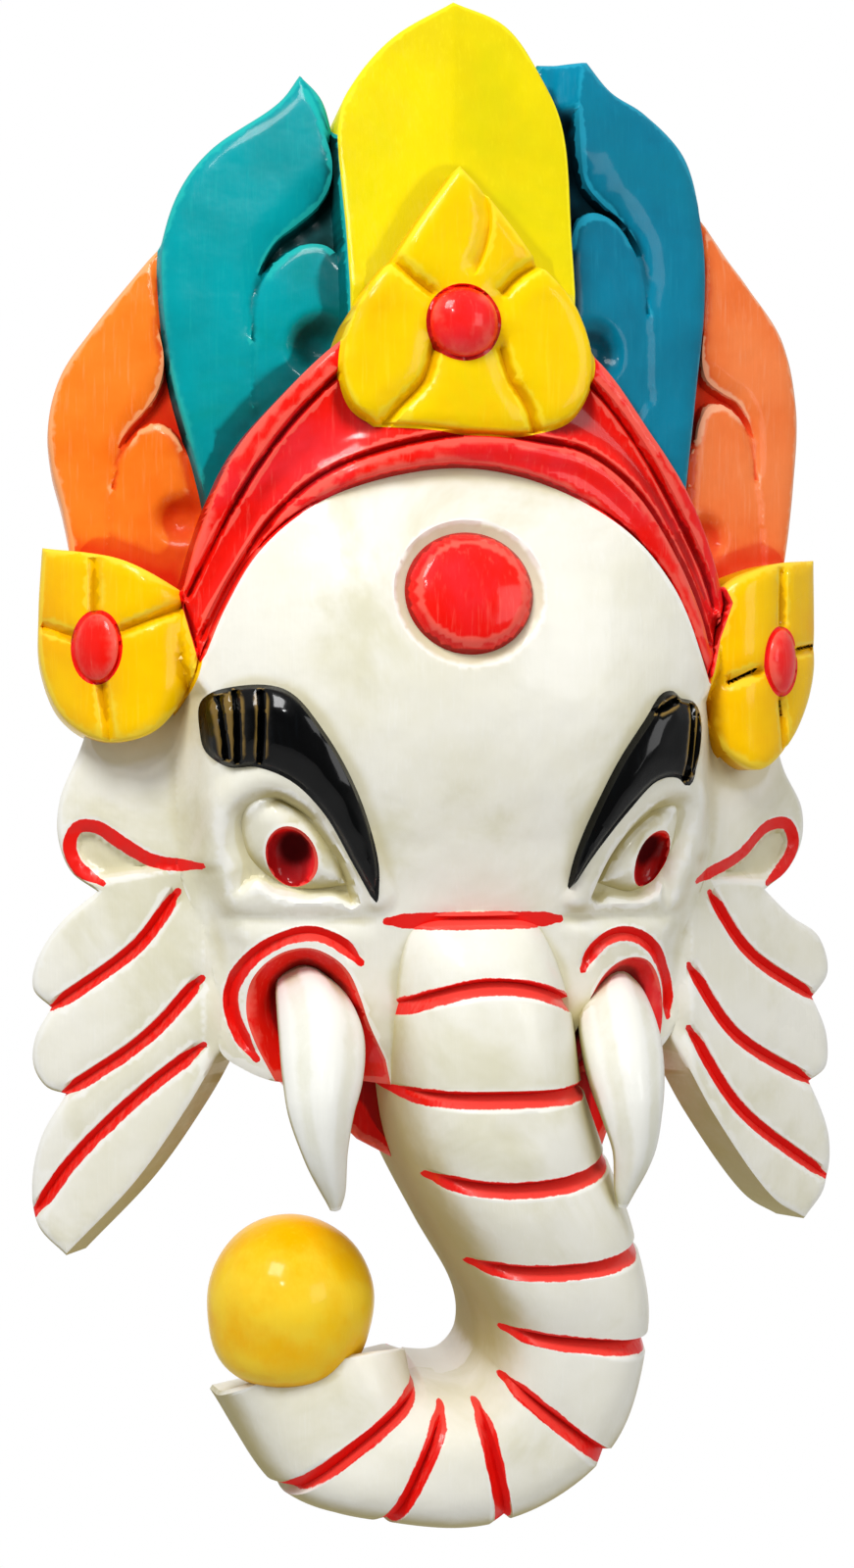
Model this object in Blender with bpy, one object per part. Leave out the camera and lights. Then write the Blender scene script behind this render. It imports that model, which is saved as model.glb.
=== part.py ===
"""Carved and painted elephant-headed mask to hang on a wall.

The whole mask is one block of wood: a crown of five leaves with a flower,
a headband, two side flowers, a face with brows, eyes and cheeks, two fanned
ears, two tusks, and a trunk that curls up round a ball.  The back is flat,
hollowed behind the face, with one blind hole to hang it by.

Forms are set out in millimetres: x to the right, z up from the middle of
the mask, and depth measured forward from the flat back.
"""
import math

import bmesh
import bpy
import numpy as np
from mathutils import Vector
from mathutils.geometry import delaunay_2d_cdt

# Sizes of the whole, millimetres
MOUNT_HEIGHT = 165.0
BACK_MARGIN = 6.0
WALL = 0.9
CURVE_STEP = 6.5
GRID_STEP = 9.5

# Face
FACE_HALF_WIDTH = 92.0
FACE_EDGE_DEPTH = 36.0
FACE_LEVELS = (-45.0, -20.0, 0.0, 20.0, 45.0, 70.0, 97.0, 150.0)
FACE_DEPTHS = (66.0, 72.0, 78.0, 81.5, 81.0, 77.0, 69.0, 62.0)
CHEEK_TOP = -41.5
CHEEK_CENTRE = (51.0, -60.0)
CHEEK_RADII = (30.0, 36.0)
CHEEK_BASE_DEPTH = 41.0
CHEEK_RISE = 20.0
MOUTH_DEPTH = 41.0
MOUTH_SLOPE = 4.0
JAW_DEPTH = 34.0
SOCKET_DEPTH = 6.0
SOCKET_SLOPE = 3.0
EYEBALL_RISE = 6.0
EYEBALL_SLOPE = 9.0
PUPIL_RADII = (7.8, 9.2)
PUPIL_DEPTH = 9.0
PUPIL_FLOOR_SHARE = 0.45
BROW_EDGE_RISE = 3.0
BROW_CROWN_RISE = 3.0
BROW_CROWN_SLOPE = 6.0
TIKA_RADII = (19.5, 18.5)
TIKA_RISE = 3.0
TIKA_MOAT = 3.0
TIKA_MOAT_DEPTH = 1.5
CURL_GROOVE_DEPTH = 2.4
CURL_GROOVE_HALF = 2.2

# Crown
LEAF_TIP_DEPTH = 38.0
LEAF_FOOT_DEPTH = 66.0
LEAF_TIP_LEVEL = 244.0
LEAF_FOOT_LEVEL = 150.0
LEAF_HALF_WIDTH = 35.5
LEAF_RIDGE = 4.0
TEAL_INNER_DEPTH = 50.0
TEAL_INNER_EDGE = 38.0
TEAL_FALL = 0.33
TEAL_TIP_FALL = 0.05
ORANGE_INNER_DEPTH = 31.0
ORANGE_INNER_EDGE = 80.0
ORANGE_FALL = 0.30
HOOK_DEPTH = 8.0
HOOK_WALL = 2.5
HOOK_SLOPE = 10.0
DISH_RADIUS = 10.0
DISH_DEPTH = 5.0
BAND_EDGE_DEPTH = 40.0
BAND_RISE = 34.0
BAND_HALF_WIDTH = 90.0
BAND_GROOVE_DEPTH = 3.0
BAND_GROOVE_HALF = 2.5
BAND_GROOVE_STEP = 9.0
FLOWER_THICKNESS = 10.0
PETAL_GROOVE_DEPTH = 3.0
PETAL_GROOVE_HALF = 2.0
BEAD_RADIUS = 10.5
BEAD_RISE = 6.0

# Side flowers
ROOF_LINE = 93.0
ROOF_DEPTH = 64.0
ROOF_ROUND = 12.0
ROOF_SLOPE = 0.95
SIDE_FLOWER_LIFT = 8.0
SIDE_GROOVE_DEPTH = 2.2
SIDE_BEAD_RADII = (6.8, 10.5)
SIDE_BEAD_RISE = 4.0

# Ears
EAR_ROOT = 78.0
EAR_ROOT_DEPTH = 44.0
EAR_FALL = 0.56
EAR_THICKNESS = 13.0
EAR_GROOVE_DEPTH = 2.5
EAR_GROOVE_HALF = 2.8
EAR_GROOVE_STEP = 8.0
EAR_RIM_DEPTH = 1.5
EAR_HOLLOW_SLOPE = 3.0
EAR_HOLLOW_DEPTH = 4.0

# Trunk, tusks and ball
TRUNK_SIDE_DEPTH = 24.0
TRUNK_SQUARENESS = 2.7
TRUNK_RING_POINTS = 18
TRUNK_GROOVE_DEPTH = 4.0
TRUNK_GROOVE_UPPER = 0.05
TRUNK_GROOVE_LOWER = 0.16
TUSK_RING_POINTS = 10
TUSK_STEP = 8.0
BALL_RADIUS = 26.5
BALL_CENTRE = (-51.3, 41.0, -159.6)

# Back
HOLLOW_CENTRE_LEVEL = 20.0
HOLLOW_RADII = (60.0, 44.0, 92.0)
HOLLOW_SETBACK = 3.0
HANG_HOLE_RADIUS = 4.5
HANG_HOLE_DEPTH = 16.0
HANG_HOLE_LEVEL = 207.0
HANG_HOLE_SIDES = 16
PLANE_BLOCK = (400.0, 40.0, 700.0)

# Outlines, each with the numbers of its points that stay sharp
CROWN_LEAF = (
    (-35.5, 120), (-36.5, 165), (-37, 206), (-31.5, 218), (-19, 233), (0.5, 246),
    (17.5, 239.5), (29, 221), (34, 206), (34, 165), (33, 120),
)
CROWN_LEAF_SHARP = "0 5 10"
TEAL_LEFT = (
    (-48, 220), (-54, 212), (-75, 197.5), (-84, 186), (-89.5, 170), (-90, 152),
    (-86.5, 124.5), (-80, 100), (-76, 84), (-40, 84), (-30, 120), (-33, 180),
    (-38, 200), (-41.5, 213),
)
TEAL_LEFT_SHARP = "0 8 9 10"
TEAL_RIGHT = (
    (27, 227), (43.5, 229.5), (52, 221.5), (65, 216), (79.5, 204), (85.5, 182),
    (86.5, 159.5), (83, 127.5), (79, 94), (70, 80), (35, 84), (25, 120), (28, 200),
)
TEAL_RIGHT_SHARP = "0 1 8 10 11"
ORANGE_LEFT = (
    (-85, 173), (-90.5, 168), (-99, 158), (-111, 143), (-120.5, 129), (-124.5, 114),
    (-123.5, 100), (-120, 86), (-116, 66), (-80, 55), (-70, 90), (-80, 130),
)
ORANGE_LEFT_SHARP = "0 8 9 10"
ORANGE_RIGHT = (
    (84, 190), (97, 174), (104.5, 166), (118, 149.5), (124, 125.5), (123, 102),
    (119.5, 75.5), (117, 64), (84, 55), (74, 90), (80, 130),
)
ORANGE_RIGHT_SHARP = "0 7 8 9"
FACE = (
    (-83, 60), (-87, 20), (-87, -5), (-85, -28), (-77, -47.5), (-73.5, -70),
    (-73, -82), (-66, -87.5), (-56, -91), (-30, -92), (30, -92), (60, -88),
    (70, -81), (76, -62.5), (75.5, -46.5), (84, -28), (88, -5), (88, 20),
    (86, 60), (60, 100), (0, 118), (-60, 100),
)
FACE_SHARP = "4 9 10 14"
BAND = (
    (-85, 57.5), (-80, 75.5), (-70, 99.5), (-56, 116.5), (-39, 132.5), (-14, 146),
    (14, 146), (39.5, 129), (56, 110), (73, 89), (82.5, 71.5), (88, 57.5),
    (80, 33), (67, 59.5), (49.5, 78), (23.5, 91.5), (-1, 96), (-26, 92.5),
    (-47.5, 84), (-64, 70), (-74, 53), (-80, 38),
)
BAND_SHARP = "0 11 12 21"
BAND_INNER_GROOVE = (
    (-80, 43), (-70, 63), (-57.5, 81.5), (-43.5, 93), (-24.5, 100.5), (0, 105),
    (22, 103.5), (36, 101), (52.5, 90.5), (67, 73), (78, 54), (82, 43),
)
BAND_OUTER_GROOVE = (
    (-84, 55.5), (-74, 76.5), (-61.5, 98), (-47.5, 115), (-30, 129), (0, 136),
    (25, 130), (38.5, 120.5), (52.5, 105.5), (67, 85.5), (79, 66.5), (84.5, 54.5),
)
FLOWER = (
    (-4.5, 184.5), (-15, 170), (-24, 156), (-27, 153.5), (-34, 144), (-38.5, 133),
    (-39.5, 122), (-36, 112.5), (-29.5, 107.5), (-16.5, 107), (3, 105.5), (19.5, 106.5),
    (31.5, 112), (37, 126), (32, 144), (23, 154.5), (20, 157), (6, 174),
)
FLOWER_SHARP = "0 2 3 8 15 16"
FLOWER_GROOVES = (
    ((-25.5, 155), (-19, 149), (-11, 144)),
    ((21.5, 156), (13, 149), (5, 145)),
    ((-11, 130), (-18, 119), (-29, 108)),
    ((5, 130), (10, 117), (18, 107)),
    ((7, 172), (6, 160), (0, 148)),
)
FLOWER_BEAD = (-3.3, 137.8)
TIKA_CENTRE = (-2.1, 56.8)
BROW_LEFT = (
    (-79, 16), (-78.5, 25), (-70.5, 28), (-57, 27), (-46, 14.5), (-35.5, -4.5),
    (-29.5, -23.5), (-29, -34), (-35, -23.5), (-44, -8.5), (-54, 1.5), (-64.5, 6),
    (-72, 6), (-77.5, 10),
)
BROW_RIGHT = (
    (75, 21.5), (70, 26.5), (60.5, 26.5), (49.5, 19), (40.5, 0), (34.5, -15),
    (31, -29.5), (39, -19.5), (51, -6), (61, 1.5), (71, 1), (75.5, 9),
)
BROW_LEFT_SHARP = "7"
BROW_RIGHT_SHARP = "6"
SOCKET_LEFT = (
    (-70, -40.5), (-72, -26.5), (-68, -9), (-60, -3), (-47, -9), (-36.5, -20.5),
    (-29.5, -36), (-28, -40.5),
)
SOCKET_RIGHT = (
    (39, -40.5), (43.5, -27), (51, -15), (64.5, -4.5), (75, -7.5), (80, -18.5),
    (75, -32.5), (70, -40.5),
)
SOCKET_SHARP = "0 7"
EYEBALL_LEFT = (
    (-68.5, -12), (-63, -4.7), (-53, -7.5), (-44, -16), (-36.5, -28.5), (-48, -32.5),
    (-59, -31.5),
)
EYEBALL_RIGHT = (
    (70, -8), (63, -7), (54, -15), (45, -28.5), (52, -32), (62, -35), (69.5, -21),
)
PUPIL_LEFT = (-53.5, -22.3)
PUPIL_RIGHT = (59.8, -23.6)
CURL_LEFT = (
    (-32.5, -52), (-39, -46), (-49.5, -44.3), (-60, -48.5), (-67, -58.7),
    (-70, -70.4), (-66.5, -80.7), (-60, -88),
)
CURL_RIGHT = (
    (36, -57), (41, -50), (49, -45.5), (58, -46), (66, -52), (70.5, -62), (71.5, -74),
)
MOUTH_LEFT = (
    (-26, -80), (-35, -64), (-46, -53.5), (-56.5, -56), (-64, -66.5), (-64, -78),
    (-54, -96), (-20, -100),
)
MOUTH_RIGHT = (
    (32, -76), (37, -66), (46, -56.5), (57, -56), (66, -64), (69, -76), (65, -92),
    (30, -100),
)
MOUTH_SHARP = "0 6 7"
JAW_LEFT = ((-58, -80), (-52, -95), (-40, -101), (-29, -112), (-18, -118), (-12, -80))
JAW_RIGHT = ((28, -80), (36, -120), (50, -120), (56, -103), (62, -90), (62, -80))
JAW_SHARP = "0 1 2 3 4 5"

LEAF_SPINE = ((0.5, 244.0), (-1.5, 214.0), (-4.0, 186.0))

# Grooves that shape the side leaves: blade edge from the tip round the hook
TEAL_HOOK_LEFT = (
    (-51, 236), (-47.5, 219), (-40.5, 198), (-38, 184), (-44.5, 173.5), (-56.5, 164.5),
    (-61.5, 151), (-63, 137),
)
TEAL_HOOK_RIGHT = (
    (46, 240), (43.5, 229), (38.5, 212), (39.5, 196), (50, 185), (60.5, 180), (67, 170),
    (67.5, 154),
)
ORANGE_HOOK_LEFT = (
    (-95, 182), (-92, 167), (-88.5, 150), (-85, 126), (-90, 119), (-97.5, 115),
    (-102.5, 108), (-105, 98), (-104.5, 90),
)
ORANGE_HOOK_RIGHT = (
    (86, 200), (90.5, 170), (88, 146), (92, 135), (103, 129.5), (111, 121),
    (113.5, 108), (114.5, 98),
)
TEAL_DISH_LEFT = (-42, 144)
TEAL_DISH_RIGHT = (40, 140)
ORANGE_DISH_LEFT = (-84, 85)
ORANGE_DISH_RIGHT = (88, 82)

SIDE_FLOWER_LEFT = (
    (-126.5, 73), (-127.5, 54), (-127, 36.5), (-120.5, 20.5), (-108.5, 13), (-94, 15.5),
    (-83, 29), (-79, 45), (-84, 58), (-104.5, 68.5),
)
SIDE_FLOWER_RIGHT = (
    (82, 50), (86, 62), (102, 70), (124.5, 74), (125, 54), (124.5, 35.5), (118.5, 21),
    (108.5, 9.5), (98, 4.5), (88, 10), (83, 20), (81, 34),
)
SIDE_FLOWER_LEFT_SHARP = "0 7 8"
SIDE_FLOWER_RIGHT_SHARP = "0 3"
SIDE_GROOVES_LEFT = (
    ((-127, 49), (-117, 45)),
    ((-104, 46), (-84, 54)),
    ((-109, 31), (-106.5, 12.5)),
    ((-111, 69), (-111, 52)),
)
SIDE_GROOVES_RIGHT = (
    ((87, 32.5), (100, 36.5)),
    ((114, 43), (124.5, 45)),
    ((107.5, 28.5), (110, 11)),
    ((108.5, 70), (108, 50.5)),
)
SIDE_BEAD_LEFT = (-110.5, 41.5)
SIDE_BEAD_RIGHT = (107.5, 39.5)

EAR_LEFT = (
    (-70, 12), (-70, -80), (-74, -84), (-83, -100.5), (-97.5, -123), (-119, -148),
    (-127.5, -139.5), (-129.5, -126.5), (-126.5, -111), (-119, -97.5), (-125, -95.5),
    (-129, -89), (-128.5, -80), (-123.5, -70.5), (-129, -65), (-128.5, -57),
    (-121.5, -44.5), (-109.5, -33.5), (-117.5, -27.5), (-121.5, -17), (-121, -5),
    (-114, 13), (-110, 30), (-84, 30),
)
EAR_LEFT_SHARP = "0 1 2 5 9 13 17 22 23"
EAR_RIGHT = (
    (70, 12), (70, -80), (74, -87), (87.5, -108), (113, -138.5), (127, -147),
    (137, -137), (138.5, -120.5), (130, -101), (137, -96.5), (137.5, -86),
    (131.5, -72.5), (138, -64), (134, -52), (121.5, -44.5), (109.5, -35),
    (120, -28.5), (126, -19), (126, -8), (117.5, 6), (112, 24), (86, 24),
)
EAR_RIGHT_SHARP = "0 1 2 5 8 11 15 20 21"
EAR_GROOVES_LEFT = (
    ((-85.5, -33), (-97.5, -50), (-123.5, -70.5)),
    ((-78.5, -59.5), (-95, -78.5), (-119.5, -97)),
    ((-78, -80), (-97.5, -97), (-117, -118), (-129, -136)),
)
EAR_GROOVES_RIGHT = (
    ((85.5, -35), (102, -55), (131.5, -72.5)),
    ((77, -58), (96, -81.5), (130, -101)),
    ((77, -78), (98, -106), (137, -134)),
)
EAR_CURL_LEFT = (
    (-79, -25), (-92, -24), (-102, -18.5), (-109.5, -13.5), (-115.5, -13.5),
    (-118, -19), (-115.5, -26), (-108, -31),
)
EAR_CURL_RIGHT = (
    (79, -31), (98, -23.5), (110.5, -14), (119, -13.5), (122, -20), (117, -28),
    (110, -33),
)

# Trunk stations: inner edge x z, outer edge x z, depth of the front, bow upward
TRUNK_STATIONS = (
    (-18, -30, 27, -30, 48, 0),
    (-19.5, -42, 29, -42, 66, 0),
    (-21.5, -69, 36, -69, 80, 11),
    (-22.5, -92, 39.5, -92, 85, 0),
    (-19, -115, 47, -113, 84, -5),
    (-5, -143, 57.5, -141, 80, -3),
    (7.5, -165, 62, -172, 75, 0),
    (9.5, -179, 49, -210, 71, 0),
    (4, -187, 14.5, -230.5, 68, 0),
    (-4.5, -188, -24, -229, 66, 0),
    (-11.5, -185, -54.5, -217, 63, 0),
    (-14, -172, -73, -183, 58, -3),
)
TRUNK_GROOVES = range(1, 11)

# Tusk stations: x, depth, z, half width
TUSK_LEFT = (
    (-42, 50, -50, 8), (-44.5, 62, -62, 12.5), (-45.5, 71, -77, 13.5),
    (-46.8, 76, -92, 11), (-45.5, 77, -108, 7), (-42.5, 75, -121, 3.4), (-42, 74, -125.5, 1.6),
)
TUSK_RIGHT = (
    (47, 50, -52, 8), (45.5, 62, -64, 12), (45.5, 71, -78, 13),
    (47.5, 76, -93, 11), (48.5, 77, -109, 7), (46.2, 75, -123, 3.4), (45.8, 74, -128, 1.6),
)

WOOD_COLOUR = (0.86, 0.85, 0.76, 1.0)


def eased(points, closed):
    """Return many points on a soft line through the given ones."""
    points = [np.array(point, float) for point in points]
    if len(points) < 3 and not closed:
        return np.array([points[0] + (points[-1] - points[0]) * t for t in np.linspace(0, 1, 17)])
    count = len(points)
    spans = count if closed else count - 1
    made = []
    for index in range(spans):
        one = points[index]
        two = points[(index + 1) % count]
        before = points[index - 1] if closed or index > 0 else 2 * one - two
        after = points[(index + 2) % count] if closed or index + 2 < count else 2 * two - one
        knots = [0.0]
        for near, far in ((before, one), (one, two), (two, after)):
            knots.append(knots[-1] + max(np.linalg.norm(far - near), 1e-6) ** 0.5)
        for place in np.linspace(knots[1], knots[2], 12, endpoint=False):
            a1 = mixed(before, one, knots[0], knots[1], place)
            a2 = mixed(one, two, knots[1], knots[2], place)
            a3 = mixed(two, after, knots[2], knots[3], place)
            b1 = mixed(a1, a2, knots[0], knots[2], place)
            b2 = mixed(a2, a3, knots[1], knots[3], place)
            made.append(mixed(b1, b2, knots[1], knots[2], place))
    if not closed:
        made.append(points[-1])
    return np.array(made)


def mixed(low, high, start, end, place):
    """Blend two values by where place lies between start and end."""
    return low * (end - place) / (end - start) + high * (place - start) / (end - start)


def spaced(line, step):
    """Return points along a line at even steps, both ends kept."""
    lengths = np.linalg.norm(np.diff(line, axis=0), axis=1)
    along = np.concatenate(([0.0], np.cumsum(lengths)))
    count = max(1, round(along[-1] / step))
    places = np.linspace(0.0, along[-1], count + 1)
    return np.stack([np.interp(places, along, line[:, k]) for k in range(line.shape[1])], axis=1)


def loop_of(points, sharp="", step=CURVE_STEP):
    """Return a closed outline, soft but for the points numbered as sharp."""
    if not sharp:
        line = eased(points, True)
        return spaced(np.vstack([line, line[:1]]), step)[:-1]
    count = len(points)
    pieces = []
    corners = [int(number) for number in sharp.split()]
    for order, start in enumerate(corners):
        end = corners[(order + 1) % len(corners)]
        reach = (end - start) % count or count
        span = [points[(start + k) % count] for k in range(reach + 1)]
        pieces.append(spaced(eased(span, False), step)[:-1])
    return np.vstack(pieces)


def line_of(points, step=CURVE_STEP):
    """Return an open soft line with even steps."""
    return spaced(eased(points, False), step)


def oval(centre, radii, count):
    """Return a closed oval of count points."""
    turns = np.linspace(0.0, 2.0 * math.pi, count, endpoint=False)
    return np.stack(
        [centre[0] + radii[0] * np.cos(turns), centre[1] + radii[1] * np.sin(turns)], axis=1
    )


def beside(line, distance, closed=False):
    """Return the line moved sideways; positive is to the left of its direction."""
    if closed:
        ahead = np.roll(line, -1, axis=0) - line
        behind = line - np.roll(line, 1, axis=0)
    else:
        ahead = np.vstack([np.diff(line, axis=0), line[-1:] - line[-2:-1]])
        behind = np.vstack([line[1:2] - line[:1], np.diff(line, axis=0)])
    ahead = ahead / np.linalg.norm(ahead, axis=1)[:, None]
    behind = behind / np.linalg.norm(behind, axis=1)[:, None]
    across = ahead + behind
    across = np.stack([-across[:, 1], across[:, 0]], axis=1)
    across = across / np.maximum(np.linalg.norm(across, axis=1), 1e-6)[:, None]
    lean = np.maximum(across[:, 0] * -ahead[:, 1] + across[:, 1] * ahead[:, 0], 0.6)
    return line + across * (distance / lean)[:, None]


def outset(loop, distance):
    """Return a closed outline grown outward by distance."""
    turn = np.sum(loop[:, 0] * np.roll(loop[:, 1], -1) - loop[:, 1] * np.roll(loop[:, 0], -1))
    return beside(loop, -distance if turn > 0 else distance, True)


def from_loop(spots, loop):
    """Return the distance of each spot from a closed outline, negative inside."""
    nearest = np.full(len(spots), 1e12)
    inside = np.zeros(len(spots), bool)
    for start, end in zip(loop, np.roll(loop, -1, axis=0)):
        edge = end - start
        reach = spots - start
        share = np.clip(reach @ edge / (edge @ edge), 0.0, 1.0)
        gap = reach - share[:, None] * edge
        nearest = np.minimum(nearest, np.sum(gap * gap, axis=1))
        if abs(edge[1]) > 1e-9:
            spans = (start[1] > spots[:, 1]) != (end[1] > spots[:, 1])
            inside ^= spans & (spots[:, 0] < start[0] + reach[:, 1] / edge[1] * edge[0])
    return np.where(inside, -np.sqrt(nearest), np.sqrt(nearest))


def from_line(spots, line):
    """Return distance, side (positive on the left) and share along an open line."""
    nearest = np.full(len(spots), 1e12)
    side = np.zeros(len(spots))
    along = np.zeros(len(spots))
    run = 0.0
    for start, end in zip(line[:-1], line[1:]):
        edge = end - start
        length = np.linalg.norm(edge)
        reach = spots - start
        share = np.clip(reach @ edge / length ** 2, 0.0, 1.0)
        gap = reach - share[:, None] * edge
        square = np.sum(gap * gap, axis=1)
        closer = square < nearest
        nearest = np.where(closer, square, nearest)
        side = np.where(closer, edge[0] * reach[:, 1] - edge[1] * reach[:, 0], side)
        along = np.where(closer, run + share * length, along)
        run += length
    return np.sqrt(nearest), np.sign(side), along / run


def cut_groove(height, spots, line, depth, left, right, fade=0.12):
    """Lower the height along a line in a V, fading out at both ends."""
    distance, side, along = from_line(spots, line)
    half = np.where(side > 0, left, right)
    ends = np.clip(np.minimum(along, 1.0 - along) / fade, 0.0, 1.0)
    return height - depth * np.clip(1.0 - distance / half, 0.0, 1.0) * ends


def raised_on(height, spots, loop, top, lip=WALL):
    """Lay a raised form with the given top inside an outline."""
    share = np.clip(1.0 - from_loop(spots, loop) / lip, 0.0, 1.0)
    return height * (1.0 - share) + top * share


def sunk_share(spots, loop, slope):
    """Return 0 outside an outline rising to 1 a slope's width inside it."""
    return np.clip(-from_loop(spots, loop) / slope, 0.0, 1.0)


def bulge(distance, half, power, ease):
    """Return 1 at the middle falling to 0 at half width."""
    return np.clip(1.0 - np.abs(distance / half) ** power, 0.0, None) ** ease


def oval_reach(spots, centre, radii):
    """Return how far out of an oval each spot is, 1 on its edge."""
    return np.hypot((spots[:, 0] - centre[0]) / radii[0], (spots[:, 1] - centre[1]) / radii[1])


class Plan:
    """Lines set out on the front plane, filled in with a net of triangles."""

    def __init__(self):
        self.points = []
        self.edges = []

    def add(self, line, closed=False):
        """Add a line whose edges must appear in the net."""
        first = len(self.points)
        self.points.extend(tuple(point) for point in line)
        last = len(self.points) - 1
        self.edges.extend((k, k + 1) for k in range(first, last))
        if closed:
            self.edges.append((last, first))

    def add_form(self, loop):
        """Add an outline with the foot of its wall."""
        self.add(loop, True)
        self.add(outset(loop, WALL), True)

    def add_groove(self, line, left, right):
        """Add a groove's floor and both its edges."""
        self.add(line)
        self.add(beside(line, left))
        self.add(beside(line, -right))

    def net(self, solids, spacing):
        """Return spots and triangles covering the inside of the solid outlines."""
        fixed = np.array(self.points)
        low = fixed.min(axis=0)
        high = fixed.max(axis=0)
        rows = np.arange(low[1], high[1], spacing * 0.866)
        free = []
        for number, row in enumerate(rows):
            for column in np.arange(low[0] + (number % 2) * spacing / 2, high[0], spacing):
                free.append((column, row))
        free = np.array(free)
        starts = fixed[[a for a, b in self.edges]]
        ends = fixed[[b for a, b in self.edges]]
        middles = (starts + ends) / 2.0
        marks = np.vstack([fixed, middles])
        gap = np.full(len(free), 1e9)
        for mark in marks:
            gap = np.minimum(gap, np.hypot(free[:, 0] - mark[0], free[:, 1] - mark[1]))
        free = free[gap > spacing * 0.55]
        points = [Vector(point) for point in np.vstack([fixed, free])]
        found = delaunay_2d_cdt(points, self.edges, [], 0, 0.02)
        spots = np.array([tuple(point) for point in found[0]])
        faces = np.array([tuple(face) for face in found[2]])
        centres = spots[faces].mean(axis=1)
        keep = np.zeros(len(faces), bool)
        for loop in solids:
            keep |= from_loop(centres, loop) < 0.0
        return spots, faces[keep]


def face_height(spots):
    """Return the depth of the rounded face before its features are carved."""
    x = spots[:, 0]
    z = spots[:, 1]
    middle = np.interp(z, FACE_LEVELS, FACE_DEPTHS)
    brow = FACE_EDGE_DEPTH + (middle - FACE_EDGE_DEPTH) * bulge(x, FACE_HALF_WIDTH, 2.4, 0.65)
    reach = ((np.abs(x) - CHEEK_CENTRE[0]) / CHEEK_RADII[0]) ** 2
    reach = reach + ((z - CHEEK_CENTRE[1]) / CHEEK_RADII[1]) ** 2
    cheek = CHEEK_BASE_DEPTH + CHEEK_RISE * np.sqrt(np.clip(1.0 - reach, 0.0, None))
    share = np.clip((z - CHEEK_TOP) / WALL, 0.0, 1.0)
    return brow * share + cheek * (1.0 - share)


def ear_height(spots):
    """Return the depth of the flat face of an ear, leaning back outward."""
    return EAR_ROOT_DEPTH - EAR_FALL * np.clip(np.abs(spots[:, 0]) - EAR_ROOT, 0.0, None)


def roof_height(spots):
    """Return the depth of a side flower, turned away to the side."""
    out = ROOF_SLOPE * (np.abs(spots[:, 0]) - ROOF_LINE)
    return ROOF_DEPTH - np.sqrt(ROOF_ROUND ** 2 + out ** 2)


def leaf_hook(height, spots, line, inner_side, open_until):
    """Carve the fall beside a leaf's blade, closing into a hook further down."""
    distance, side, along = from_line(spots, line)
    depth = HOOK_DEPTH * np.clip(along / 0.25, 0.3, 1.0) * np.clip((1.0 - along) / 0.4, 0.0, 1.0)
    fall = np.clip(distance / HOOK_WALL, 0.0, 1.0)
    back = np.clip(1.0 - (distance - HOOK_WALL) / HOOK_SLOPE, 0.0, 1.0)
    back = np.where(along < open_until, 1.0, back)
    return height - depth * fall * back * (side == inner_side)


def dished(height, spots, centre, radius, depth):
    """Scoop a round dish."""
    reach = oval_reach(spots, centre, (radius, radius * 1.2))
    return height - depth * np.clip(1.0 - reach, 0.0, 1.0) ** 0.5


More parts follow.
